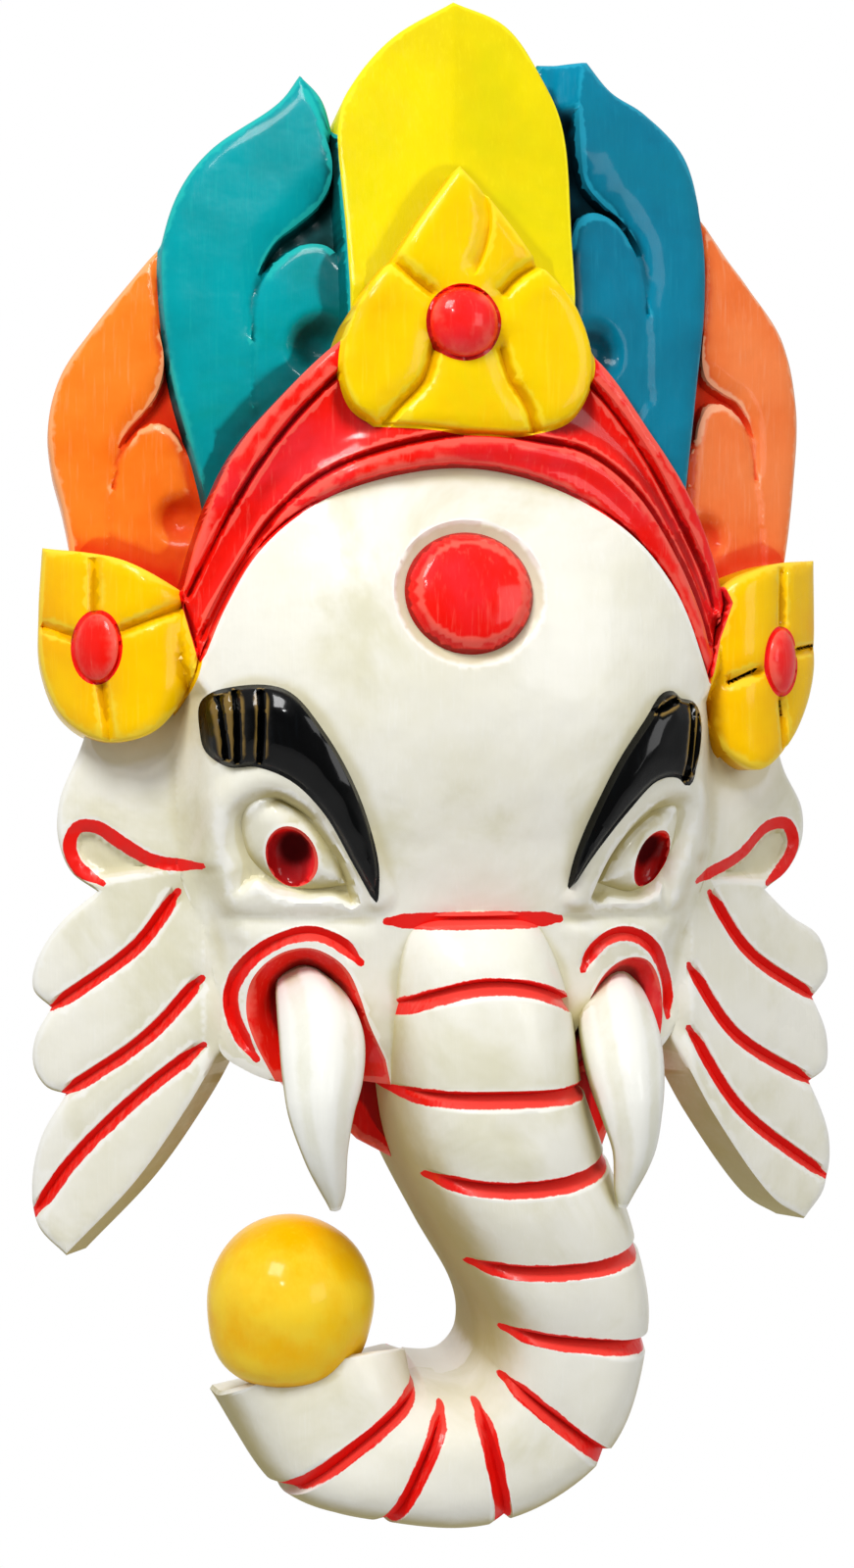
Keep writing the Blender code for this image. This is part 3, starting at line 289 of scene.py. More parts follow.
def from_loop(spots: Array, loop: Array, reach: float = 14.0) -> Array:
    """Measure each spot's distance from a closed outline.

    Args:
        spots: Places on the front plane.
        loop: The outline.
        reach: Spots further outside than this aren't measured.

    Returns:
        Distances, negative inside and large far outside.
    """
    found = np.full(len(spots), FAR_OFF)
    low = loop.min(axis=0) - reach
    high = loop.max(axis=0) + reach
    near = np.all((spots > low) & (spots < high), axis=1)
    some = spots[near]
    nearest = np.full(len(some), 1e12)
    inside = np.zeros(len(some), bool)
    for start, end in zip(loop, np.roll(loop, -1, axis=0)):
        edge = end - start
        gone = some - start
        share = clipped(gone @ edge / (edge @ edge))
        gap = gone - share[:, None] * edge
        nearest = np.minimum(nearest, np.sum(gap * gap, axis=1))
        if abs(edge[1]) > 1e-9:
            spans = (start[1] > some[:, 1]) != (end[1] > some[:, 1])
            inside ^= spans & (some[:, 0] < start[0] + gone[:, 1] / edge[1] * edge[0])
    found[near] = np.where(inside, -np.sqrt(nearest), np.sqrt(nearest))
    return found


def from_line(
    spots: Array, line: Array, reach: float = 40.0
) -> tuple[Array, Array, Array]:
    """Measure where each spot lies from an open line.

    Args:
        spots: Places on the front plane.
        line: The open line.
        reach: Spots further away than this aren't measured.

    Returns:
        Distance, side (positive on the left) and share along the line.
    """
    distance = np.full(len(spots), FAR_OFF)
    side = np.zeros(len(spots))
    along = np.zeros(len(spots))
    low = line.min(axis=0) - reach
    high = line.max(axis=0) + reach
    near = np.all((spots > low) & (spots < high), axis=1)
    some = spots[near]
    nearest = np.full(len(some), 1e12)
    some_side = np.zeros(len(some))
    some_along = np.zeros(len(some))
    run = 0.0
    for start, end in zip(line[:-1], line[1:]):
        edge = end - start
        length = float(np.linalg.norm(edge))
        gone = some - start
        share = clipped(gone @ edge / length ** 2)
        gap = gone - share[:, None] * edge
        square = np.sum(gap * gap, axis=1)
        closer = square < nearest
        nearest = np.where(closer, square, nearest)
        some_side = np.where(closer, edge[0] * gone[:, 1] - edge[1] * gone[:, 0], some_side)
        some_along = np.where(closer, run + share * length, some_along)
        run += length
    distance[near] = np.sqrt(nearest)
    side[near] = np.sign(some_side)
    along[near] = some_along / run
    return distance, side, along


def from_lines(spots: Array, lines: list[Array]) -> Array:
    """Measure each spot's distance from the nearest of several open lines."""
    return np.min([from_line(spots, line)[0] for line in lines], axis=0)


def lattice_noise(places: Array, cell: float, seed: int) -> Array:
    """Give smooth random values, the same on every run.

    Args:
        places: Places with two or three values each, in millimetres.
        cell: Size of one swell in millimetres.
        seed: Number that picks the pattern.

    Returns:
        Values from -1 to 1.
    """
    scaled = places / cell
    base = np.floor(scaled)
    rest = scaled - base
    rest = rest * rest * (3.0 - 2.0 * rest)
    total = np.zeros(len(places))
    width = places.shape[1]
    for corner in range(2 ** width):
        weight = np.ones(len(places))
        code = np.full(len(places), float(seed) * 17.31)
        for axis in range(width):
            step = (corner >> axis) & 1
            weight *= rest[:, axis] if step else 1.0 - rest[:, axis]
            code += (base[:, axis] + step) * (12.9898, 78.233, 37.719)[axis]
        value = np.sin(code) * 43758.5453
        total += weight * (value - np.floor(value))
    return total * 2.0 - 1.0


def eased_share(value: Array) -> Array:
    """Turn 0 to 1 into a soft rise from 0 to 1."""
    share = clipped(value)
    return share * share * (3.0 - 2.0 * share)


@dataclass
class Plan:
    """Lines set out on the front plane, filled with a net of triangles."""

    points: list[tuple[float, float]] = field(default_factory=list)
    edges: list[tuple[int, int]] = field(default_factory=list)

    def add(self, line: Array, closed: bool = False) -> None:
        """Add a line whose edges appear in the net.

        Args:
            line: Points of the line.
            closed: True for an outline.
        """
        first = len(self.points)
        self.points.extend((float(x), float(z)) for x, z in line)
        last = len(self.points) - 1
        self.edges.extend((k, k + 1) for k in range(first, last))
        if closed:
            self.edges.append((last, first))

    def add_form(self, loop: Array) -> None:
        """Add an outline with the foot of its wall and its rounded edge."""
        self.add(loop, True)
        self.add(outset(loop, WALL), True)
        self.add(outset(loop, -EDGE_ROUND * 0.35), True)
        self.add(outset(loop, -EDGE_ROUND), True)

    def add_groove(self, line: Array, left: float, right: float) -> None:
        """Add a groove's floor and both its edges."""
        self.add(line)
        self.add(beside(line, left))
        self.add(beside(line, -right))

    def net(self, solids: list[Array], spacing: float) -> tuple[Array, Array]:
        """Fill the solid outlines with triangles.

        Args:
            solids: Outlines of what is solid.
            spacing: Distance between the free points.

        Returns:
            Spots on the plane and triangles of spot numbers.
        """
        fixed = np.array(self.points)
        tree = KDTree(len(fixed))
        for number, (x, z) in enumerate(fixed):
            tree.insert((x, z, 0.0), number)
        tree.balance()
        low = fixed.min(axis=0)
        high = fixed.max(axis=0)
        free = []
        for number, row in enumerate(np.arange(low[1], high[1], spacing * 0.866)):
            columns = np.arange(low[0] + (number % 2) * spacing / 2, high[0], spacing)
            free.extend((float(column), float(row)) for column in columns)
        grown = np.array(free)
        inside = np.zeros(len(grown), bool)
        for loop in solids:
            inside |= from_loop(grown, loop) < 0.0
        free = [spot for spot, kept in zip(free, inside) if kept]
        free = [spot for spot in free if tree.find((spot[0], spot[1], 0.0))[2] > spacing * 0.6]
        points = [Vector(point) for point in self.points + free]
        found = delaunay_2d_cdt(points, self.edges, [], 0, 0.01)
        spots = np.array([tuple(point) for point in found[0]])
        faces = np.array([tuple(face) for face in found[2]])
        centres = spots[faces].mean(axis=1)
        keep = np.zeros(len(faces), bool)
        for loop in solids:
            keep |= from_loop(centres, loop) < 0.0
        return spots, faces[keep]


@dataclass
class Relief:
    """Carved depth and paint over a net of triangles."""

    spots: Array
    faces: Array
    depth: Array = field(init=False)
    paint: Array = field(init=False)
    centres: Array = field(init=False)

    def __post_init__(self) -> None:
        """Start flat and white."""
        self.depth = np.zeros(len(self.spots))
        self.paint = np.zeros(len(self.faces), int)
        self.centres = self.spots[self.faces].mean(axis=1)

    def raise_form(
        self, loop: Array, top: Array, paint: Paint, wall: Paint | None = None,
        edge: float = EDGE_ROUND,
    ) -> None:
        """Raise a form with a rounded edge and an upright wall, and paint it.

        Args:
            loop: Its outline.
            top: Depth of its top over the whole net.
            paint: Paint of its top.
            wall: Paint of its wall, the same as the top's if not given.
            edge: Radius of its rounded edge.
        """
        away = from_loop(self.spots, loop)
        share = clipped(1.0 - away / WALL)
        into = np.clip(away + edge, 0.0, edge)
        drop = edge - np.sqrt(np.maximum(edge ** 2 - into ** 2, 0.0))
        self.depth = self.depth * (1.0 - share) + (top - drop) * share
        away = from_loop(self.centres, loop)
        self.paint[away < 0.0] = paint
        self.paint[(away >= 0.0) & (away < WALL * 0.97)] = paint if wall is None else wall

    def brush(self, loop: Array, paint: Paint) -> None:
        """Paint inside an outline without carving."""
        self.paint[from_loop(self.centres, loop) < 0.0] = paint


def clear_part(line: Array, other: Array, gap: float) -> Array:
    """Keep the start of a line, up to where it comes nearer another than a gap."""
    near = from_line(line, other)[0] < gap
    return line[:max(int(np.argmax(near)), 2)] if near.any() else line


def cut_groove(
    depth: Array, spots: Array, line: Array, deep: float, left: float,
    right: float, fade: float = 0.1,
) -> Array:
    """Cut a V groove along a line.

    Args:
        depth: Depth before the cut.
        spots: Places on the front plane.
        line: Floor of the groove.
        deep: How deep it goes.
        left: Its width on the left of the line.
        right: Its width on the right of the line.
        fade: Share of its length over which each end rises.

    Returns:
        Depth after the cut.
    """
    distance, side, along = from_line(spots, line, max(left, right) + 2.0)
    half = np.where(side > 0, left, right)
    ends = clipped(np.minimum(along, 1.0 - along) / fade) ** 0.7
    return depth - deep * clipped(1.0 - distance / half) * ends


@dataclass
class SideLeaf:
    """One leaf beside the crown's middle leaf: a blade that hooks over a lobe."""

    points: Points
    sharp: tuple[int, ...]
    crest: Points
    lobe: Points
    hollow: Spot
    dish_centre: Spot
    paint: Paint
    inner_side: int
    inner_edge: float
    inner_depth: float
    fall: float
    channel_depth: float = 9.0
    blade_drop: float = 3.6
    blade_slopes: Spot = (12.0, 5.0)
    channel_walls: Spot = (1.6, 1.6)
    bevel_depth: float = 4.5
    bevel_width: float = 8.0
    lobe_bevel: float = 5.0
    dish_radius: float = 11.5
    dish_depth: float = 5.5
    edge_drop: float = 1.3
    edge_width: float = 6.0
    tip_level: float = 150.0
    tip_fall: float = 0.05
    reach: float = 120.0

    def __post_init__(self) -> None:
        """Draw its lines."""
        self.loop = closed_line(self.points, self.sharp)
        self.crest_line = open_line(self.crest)
        self.lobe_line = open_line(self.lobe)
        self.dish = oval(self.dish_centre, (self.dish_radius, self.dish_radius))

    def set_out(self, plan: Plan) -> None:
        """Add its lines to the plan."""
        plan.add_form(self.loop)
        plan.add(self.crest_line)
        plan.add(self.lobe_line)
        foot = beside(self.crest_line, self.inner_side * self.channel_walls[0])
        plan.add(clear_part(foot, self.lobe_line, self.channel_walls[1]))
        foot = beside(self.lobe_line, self.inner_side * self.channel_walls[1])[::-1]
        plan.add(clear_part(foot, self.crest_line, self.channel_walls[1]))

    def carve(self, relief: Relief) -> None:
        """Carve and paint it."""
        spots = relief.spots
        outward = np.abs(spots[:, 0]) - self.inner_edge
        top = self.inner_depth - self.fall * outward
        top = top - self.tip_fall * np.clip(spots[:, 1] - self.tip_level, 0.0, None)
        away = from_loop(spots, self.loop)
        top = top - self.edge_drop * clipped(1.0 + away / self.edge_width) ** 2
        relief.raise_form(self.loop, top - self.cuts(spots), self.paint)

    def cuts(self, spots: Array) -> Array:
        """Give how deep the bevels, the hooked channel and the dish go.

        Args:
            spots: Places on the front plane.

        Returns:
            Depth taken away at each spot.
        """
        distance, side, along = from_line(spots, self.crest_line, self.reach)
        side = np.where(distance < 0.05, -self.inner_side, side)
        inner = side == self.inner_side
        hollow = np.array([self.hollow])
        turn = float(from_line(hollow, self.crest_line)[2][0])
        late = eased_share((along - turn + 0.1) / 0.14)
        past = clipped((along - turn) / (1.0 - turn))
        lobe_gap, lobe_side, lobe_along = from_line(spots, self.lobe_line, self.reach)
        lobe_side = np.where(lobe_gap < 0.05, -self.inner_side, lobe_side)
        outside = lobe_side == self.inner_side
        width = self.blade_slopes[0] + (self.blade_slopes[1] - self.blade_slopes[0]) * past
        # The blade falls to the crest; inside it the bevel gives way to the hooked channel.
        drop = self.blade_drop * late * (1.0 - past) ** 0.6
        blade = drop * clipped(1.0 - distance / width) ** 1.6
        bevel = self.bevel_depth * clipped(distance / self.bevel_width)
        bevel = bevel * np.clip(along / 0.2, 0.5, 1.0)
        reach = np.hypot(spots[:, 0] - self.hollow[0], spots[:, 1] - self.hollow[1])
        floor = self.channel_depth * clipped(1.0 - past) ** 0.55
        floor = np.where(along > turn, floor, self.channel_depth)
        narrow = clipped((distance + lobe_gap) / sum(self.channel_walls))
        floor = drop + (floor - drop) * narrow
        channel = drop + (floor - drop) * clipped(distance / self.channel_walls[0]) ** 0.8
        near = eased_share((22.0 - reach) / 9.0)
        inside = bevel * (1.0 - late) + channel * late
        inside = inside * (1.0 - near) + np.maximum(inside, channel) * near
        # The channel's far wall climbs to the lobe, whose tail runs out as a bevel.
        rising = clipped(lobe_gap / self.channel_walls[1])
        tail = eased_share((lobe_along - 0.55) / 0.15)
        lobe_fall = self.lobe_bevel * clipped(lobe_gap / 6.0)
        inside = inside * (1.0 - tail) * rising + lobe_fall * tail
        on_lobe = 0.5 * late + 0.9 * clipped(1.0 - lobe_gap / 3.5) ** 2
        cut = np.where(inner, np.where(outside, inside, on_lobe * (lobe_gap < 30.0)), blade)
        dish = oval_reach(spots, self.dish_centre, (self.dish_radius, self.dish_radius))
        return cut + self.dish_depth * eased_share((1.0 - dish) / 0.85)


@dataclass
class MiddleLeaf:
    """The crown's tall middle leaf with a low spine."""

    points: Points = (
        (-35.5, 120), (-36.5, 165), (-37, 206), (-31.5, 218), (-19, 233), (0.5, 246), (17.5, 239.5),
        (29, 221), (34, 206), (34, 165), (33, 120),
    )
    sharp: tuple[int, ...] = (0, 5, 10)
    spine: Points = ((0.5, 244.0), (-1.5, 214.0), (-4.0, 184.0))
    tip_depth: float = 38.0
    foot_depth: float = 66.0
    tip_level: float = 244.0
    foot_level: float = 150.0
    half_width: float = 35.5
    spine_rise: float = 4.5

    def __post_init__(self) -> None:
        """Draw its lines."""
        self.loop = closed_line(self.points, self.sharp)
        self.line = open_line(self.spine)

    def set_out(self, plan: Plan) -> None:
        """Add its lines to the plan."""
        plan.add_form(self.loop)
        plan.add(self.line)

    def carve(self, relief: Relief) -> None:
        """Carve and paint it; green paint from its neighbours runs up its wall."""
        spots = relief.spots
        slope = (self.foot_depth - self.tip_depth) / (self.tip_level - self.foot_level)
        top = self.tip_depth + slope * (self.tip_level - np.maximum(spots[:, 1], self.foot_level))
        spine = np.array(self.spine[::-1])
        off = np.abs(spots[:, 0] - np.interp(spots[:, 1], spine[:, 1], spine[:, 0]))
        top = top + self.spine_rise * (1.0 - off / self.half_width)
        relief.raise_form(self.loop, top, Paint.LEMON, Paint.GREEN_TEAL, 1.0)
        right = (relief.paint == Paint.GREEN_TEAL) & (relief.centres[:, 0] > 0.0)
        relief.paint[right] = Paint.BLUE_TEAL


@dataclass
class Headband:
    """The band over the forehead: two rolls with a hollow between."""

    points: Points = (
        (-85, 57.5), (-80, 75.5), (-70, 99.5), (-56, 116.5), (-39, 132.5), (-14, 146), (14, 146),
        (39.5, 129), (56, 110), (73, 89), (82.5, 71.5), (88, 57.5), (80, 33), (67, 59.5), (49.5, 78),
        (23.5, 91.5), (-1, 96), (-26, 92.5), (-47.5, 84), (-64, 70), (-74, 53), (-80, 38),
    )
    sharp: tuple[int, ...] = (0, 11, 12, 21)
    inner: Points = (
        (-80, 43), (-70, 63), (-57.5, 81.5), (-43.5, 93), (-24.5, 100.5), (0, 105), (22, 103.5), (36, 101),
        (52.5, 90.5), (67, 73), (78, 54), (82, 43),
    )
    outer: Points = (
        (-84, 55.5), (-74, 76.5), (-61.5, 98), (-47.5, 115), (-30, 129), (0, 136), (25, 130),
        (38.5, 120.5), (52.5, 105.5), (67, 85.5), (79, 66.5), (84.5, 54.5),
    )
    edge_depth: float = 40.0
    rise: float = 34.0
    half_width: float = 90.0
    groove_depth: float = 3.2
    groove_half: float = 1.6
    hollow_depth: float = 2.6
    roll_rises: Spot = (1.1, 1.3)
    roll_widths: Spot = (8.0, 9.0)

    def __post_init__(self) -> None:
        """Draw its lines."""
        self.loop = closed_line(self.points, self.sharp)
        self.inner_line = open_line(self.inner)
        self.outer_line = open_line(self.outer)

    def set_out(self, plan: Plan) -> None:
        """Add its lines to the plan."""
        plan.add_form(self.loop)
        for line in (self.inner_line, self.outer_line):
            plan.add_groove(line, self.groove_half, self.groove_half)

    def carve(self, relief: Relief) -> None:
        """Carve and paint it."""
        spots = relief.spots
        arch = np.clip(1.0 - np.abs(spots[:, 0] / self.half_width) ** 2.2, 0.0, None) ** 0.62
        top = self.edge_depth + self.rise * arch
        inner, inner_side, _ = from_line(spots, self.inner_line)
        outer, outer_side, _ = from_line(spots, self.outer_line)
        between = (inner_side > 0) & (outer_side < 0)
        share = inner / np.maximum(inner + outer, 1e-6)
        top = top - self.hollow_depth * between * np.sin(np.pi * clipped(share)) ** 0.8
        rolls = [
            rise * np.sin(clipped(gap / width) * np.pi) * beyond
            for rise, width, gap, beyond in zip(
                self.roll_rises, self.roll_widths, (inner, outer), (inner_side < 0, outer_side > 0)
            )
        ]
        top = top + (rolls[0] + rolls[1])
        half = self.groove_half
        for line in (self.inner_line, self.outer_line):
            top = cut_groove(top, spots, line, self.groove_depth, half, half, 0.01)
        relief.raise_form(self.loop, top, Paint.RED, None, 1.6)


@dataclass
class Bead:
    """The red domed bead in the middle of a flower."""

    centre: Spot
    radii: Spot
    rise: float

    def __post_init__(self) -> None:
        """Draw its outline."""
        self.loop = oval(self.centre, self.radii)

    def carve(self, relief: Relief, ground: Array | float) -> None:
        """Carve and paint it on the ground it stands on."""
        reach = oval_reach(relief.spots, self.centre, self.radii)
        dome = np.sqrt(clipped(1.04 - reach ** 2))
        relief.raise_form(self.loop, ground + self.rise * dome, Paint.RED, None, 0.4)


@dataclass
class CentreFlower:
    """The flower on the headband, four petals round a bead."""

    points: Points = (
        (-4.5, 184.5), (-15, 170), (-24, 156), (-27, 153.5), (-34, 144), (-38.5, 133), (-39.5, 122),
        (-36, 112.5), (-29.5, 107.5), (-16.5, 107), (3, 105.5), (19.5, 106.5), (31.5, 112), (37, 126),
        (32, 144), (23, 154.5), (20, 157), (6, 174),
    )
    sharp: tuple[int, ...] = (0, 2, 3, 8, 15, 16)
    cuts: tuple[Points, ...] = (
        ((-26.5, 158.5), (-18.9, 151.4), (-11.5, 146.1)),
        ((21.5, 157.6), (14.2, 153), (8.4, 147)),
        ((-11.5, 131.6), (-14.8, 121), (-22.2, 112.7), (-27.5, 107)),
        ((8.4, 132.4), (11.7, 122), (16.7, 114), (19.8, 105.5)),
    )
    fold: Points = ((2.6, 180), (4.6, 168.8), (3.1, 159.8), (-0.4, 151.5))
    depth: float = 75.0
    cut_depth: float = 2.4
    cut_half: float = 2.4
    fold_depth: float = 1.8
    fold_halves: Spot = (0.8, 5.0)
    petal_level: float = 140.0
    bead_centre: Spot = (-3.3, 137.8)
    bead_radius: float = 10.5
    bead_rise: float = 6.5

    def __post_init__(self) -> None:
        """Draw its lines."""
        self.loop = closed_line(self.points, self.sharp)
        self.cut_lines = [open_line(line) for line in self.cuts]
        self.fold_line = open_line(self.fold)
        self.bead = Bead(self.bead_centre, (self.bead_radius, self.bead_radius), self.bead_rise)

    def set_out(self, plan: Plan) -> None:
        """Add its lines to the plan."""
        plan.add_form(self.loop)
        plan.add_form(self.bead.loop)
        for line in self.cut_lines:
            plan.add_groove(line, self.cut_half, self.cut_half)
        plan.add_groove(self.fold_line, *self.fold_halves)

    def carve(self, relief: Relief) -> None:
        """Carve and paint it."""
        spots = relief.spots
        away = from_loop(spots, self.loop)
        top = np.full(len(spots), self.depth) - 1.2 * clipped(1.0 + away / 5.0) ** 2
        nearest = from_lines(spots, self.cut_lines)
        top = top - 1.8 * clipped(1.0 - nearest / 9.0) ** 2
        over = spots[:, 1] - self.petal_level
        top = top + 0.04 * over * (over > 0.0)
        for line in self.cut_lines:
            top = cut_groove(top, spots, line, self.cut_depth, self.cut_half, self.cut_half, 0.05)
        top = cut_groove(top, spots, self.fold_line, self.fold_depth, *self.fold_halves, 0.15)
        relief.raise_form(self.loop, top, Paint.GOLD, None, 1.2)
        self.bead.carve(relief, self.depth - 1.0)


@dataclass
class SideFlower:
    """A flower turned away to the side of the head."""

    points: Points
    sharp: tuple[int, ...]
    cuts: tuple[Points, ...]
    cracks: tuple[Points, ...]
    bead_centre: Spot
    bead_radii: Spot = (6.6, 10.4)
    bead_rise: float = 4.5
    cut_depth: float = 2.0
    cut_half: float = 2.2
    crack_depth: float = 3.5
    crack_half: float = 0.7
    crack_paint: float = 0.42
    overlap: float = 8.0
    roof_line: float = 93.0
    roof_depth: float = 64.0
    roof_round: float = 12.0
    roof_slope: float = 0.95

    def __post_init__(self) -> None:
        """Draw its lines."""
        self.loop = closed_line(self.points, self.sharp)
        self.cut_lines = [open_line(line) for line in self.cuts]
        self.crack_lines = [open_line(line) for line in self.cracks]
        self.bead = Bead(self.bead_centre, self.bead_radii, self.bead_rise)

    def set_out(self, plan: Plan) -> None:
        """Add its lines to the plan."""
        plan.add_form(self.loop)
        plan.add_form(self.bead.loop)
        for line in self.cut_lines:
            plan.add_groove(line, self.cut_half, self.cut_half)
        for line in self.crack_lines:
            plan.add_groove(line, self.crack_half, self.crack_half)

    def roof(self, spots: Array) -> Array:
        """Give the depth of its turned face."""
        out = self.roof_slope * (np.abs(spots[:, 0]) - self.roof_line)
        return self.roof_depth - np.sqrt(self.roof_round ** 2 + out ** 2)

    def carve(self, relief: Relief) -> None:
        """Carve and paint it."""
        spots = relief.spots
        away = from_loop(spots, self.loop)
        top = self.roof(spots) - 1.5 * clipped(1.0 + away / 5.0) ** 2
        nearest = from_lines(spots, self.cut_lines)
        top = top - 1.2 * clipped(1.0 - nearest / 7.0) ** 2
        for line in self.cut_lines:
            top = cut_groove(top, spots, line, self.cut_depth, self.cut_half, self.cut_half, 0.05)
        half = self.crack_half
        for line in self.crack_lines:
            top = cut_groove(top, spots, line, self.crack_depth, half, half, 0.3)
        top = np.maximum(top, np.minimum(relief.depth, top + self.overlap))
        relief.raise_form(self.loop, top, Paint.AMBER, None, 1.2)
        self.bead.carve(relief, self.roof(spots) - 0.8)
        for line in self.crack_lines:
            gap, _, along = from_line(relief.centres, line, 3.0)
            inked = (gap < self.crack_paint) & (along > 0.05) & (along < 0.95)
            relief.paint[inked] = Paint.BLACK


@dataclass
class Eye:
    """An eye: a lid over a low eyeball, a slope behind it and a pouch below."""

    socket: Points
    eyeball: Points
    pouch: Points
    lid: Points
    pupil_centre: Spot
    pupil_radii: Spot
    pupil_tilt: float
    shade_centre: Spot
    slope_from: float
    socket_depth: float = 6.0
    crease_width: float = 1.8
    slope_width: float = 9.0
    ball_rise: float = 5.6
    ball_slope: float = 9.0
    pouch_slope: float = 4.2
    lid_rise: float = 2.0
    lid_half: float = 5.5
    pupil_depth: float = 9.0
    pupil_rings: tuple[float, ...] = (0.3, 0.6, 0.85, 1.08)
    shade_radii: Spot = (0.75, 0.7)
    shade_edge: float = 1.8
    darkest: float = 0.85

    def __post_init__(self) -> None:
        """Draw its lines."""
        self.socket_loop = closed_line(self.socket, (0, len(self.socket) - 4))
        self.ball_loop = closed_line(self.eyeball, (0,))
        self.pouch_loop = closed_line(self.pouch, (0, 5))
        self.lid_line = open_line(self.lid)
        self.pupil = oval(self.pupil_centre, self.pupil_radii, self.pupil_tilt)

    def set_out(self, plan: Plan) -> None:
        """Add its lines to the plan."""
        for loop in (self.socket_loop, self.ball_loop, self.pouch_loop, self.pupil):
            plan.add(loop, True)
        plan.add(outset(self.ball_loop, -0.9), True)
        plan.add(outset(self.ball_loop, -2.4), True)
        plan.add(outset(self.socket_loop, -self.crease_width), True)
        for share in self.pupil_rings:
            radii = (self.pupil_radii[0] * share, self.pupil_radii[1] * share)
            plan.add(oval(self.pupil_centre, radii, self.pupil_tilt), True)

    def carve(self, top: Array, spots: Array) -> Array:
        """Carve it into the face.

        Args:
            top: Depth of the face before.
            spots: Places on the front plane.

        Returns:
            Depth of the face after.
        """
        distance = from_line(spots, self.lid_line)[0]
        ridge = clipped(1.0 - (distance / self.lid_half) ** 2) ** 1.5
        top = top + self.lid_rise * ridge
        into = -from_loop(spots, self.socket_loop)
        outward = eased_share((np.abs(spots[:, 0]) - self.slope_from) / 10.0)
        width = self.crease_width + (self.slope_width - self.crease_width) * outward
        socket = self.socket_depth * eased_share(into / width)
        into = clipped(-from_loop(spots, self.ball_loop) / self.ball_slope)
        ball = self.ball_rise * (1.0 - (1.0 - into) ** 2) ** 0.7
        into = -from_loop(spots, self.pouch_loop)
        pouch = socket * eased_share((into + 1.3) / self.pouch_slope)
        top = top - socket + np.maximum(ball, pouch)
        reach = oval_reach(spots, self.pupil_centre, self.pupil_radii, self.pupil_tilt)
        return top - self.pupil_depth * clipped(1.0 - reach ** 2) ** 0.7

    def colour(self, relief: Relief) -> None:
        """Paint the pupil's bowl."""
        relief.brush(self.pupil, Paint.RED)

    def shade(self, spots: Array) -> Array:
        """Give the painted shade inside the pupil's bowl, 0 to 1."""
        radii = tuple(radius * share for radius, share in zip(self.pupil_radii, self.shade_radii))
        reach = oval_reach(spots, self.shade_centre, radii, self.pupil_tilt)
        return self.darkest * eased_share((self.shade_edge - reach) / self.shade_edge)


@dataclass
class Brow:
    """A black horn-shaped brow with fluted outer end."""

    points: Points
    sharp: tuple[int, ...]
    flutes: tuple[Points, ...]
    edge_rise: float = 3.0
    crown_rise: float = 3.2
    crown_slope: float = 6.5
    flute_depth: float = 2.6
    flute_half: float = 1.6

    def __post_init__(self) -> None:
        """Draw its lines."""
        self.loop = closed_line(self.points, self.sharp, 1.2)
        self.flute_lines = [open_line(line) for line in self.flutes]

    def set_out(self, plan: Plan) -> None:
        """Add its lines to the plan."""
        plan.add_form(self.loop)
        for line in self.flute_lines:
            plan.add_groove(line, 1.4, 1.4)

    def carve(self, relief: Relief, face: Array) -> None:
        """Carve and paint it on the face.

        Args:
            relief: The relief to carve.
            face: Depth of the bare face.
        """
        spots = relief.spots
        into = clipped(-from_loop(spots, self.loop) / self.crown_slope)
        top = face + self.edge_rise + self.crown_rise * into ** 0.75
        for line in self.flute_lines:
            half = self.flute_half
            top = cut_groove(top, spots, line, self.flute_depth, half, half, 0.02)
        top = top + 0.35 * lattice_noise(spots, 7.0, 31)
        relief.raise_form(self.loop, top, Paint.BLACK, None, 0.8)


@dataclass
class Cheek:
    """A cheek with its curl groove and the mouth recess behind the tusk."""

    curl: Points
    mouth: Points
    mouth_sharp: tuple[int, ...]
    jaw: Points
    curl_half: float = 2.3
    curl_depth: float = 2.6
    mouth_depth: float = 43.0
    mouth_slope: float = 9.0
    jaw_depth: float = 34.0

    def __post_init__(self) -> None:
        """Draw its lines."""
        self.curl_line = open_line(self.curl)
        self.mouth_loop = closed_line(self.mouth, self.mouth_sharp)
        self.jaw_loop = closed_line(self.jaw, tuple(range(len(self.jaw))))

    def set_out(self, plan: Plan) -> None:
        """Add its lines to the plan."""
        plan.add_groove(self.curl_line, self.curl_half, self.curl_half)
        plan.add(self.mouth_loop, True)
        plan.add(outset(self.mouth_loop, -1.2), True)
        plan.add(self.jaw_loop, True)

    def carve(self, top: Array, spots: Array) -> Array:
        """Carve it into the face.

        Args:
            top: Depth of the face before.
            spots: Places on the front plane.

        Returns:
            Depth of the face after.
        """
        top = cut_groove(
            top, spots, self.curl_line, self.curl_depth, self.curl_half, self.curl_half, 0.08
        )
        into = -from_loop(spots, self.mouth_loop)
        share = clipped(into / self.mouth_slope)
        return top * (1.0 - share) + np.minimum(top, self.mouth_depth) * share

    def colour(self, relief: Relief) -> None:
        """Paint the recess."""
        relief.brush(self.mouth_loop, Paint.RED)


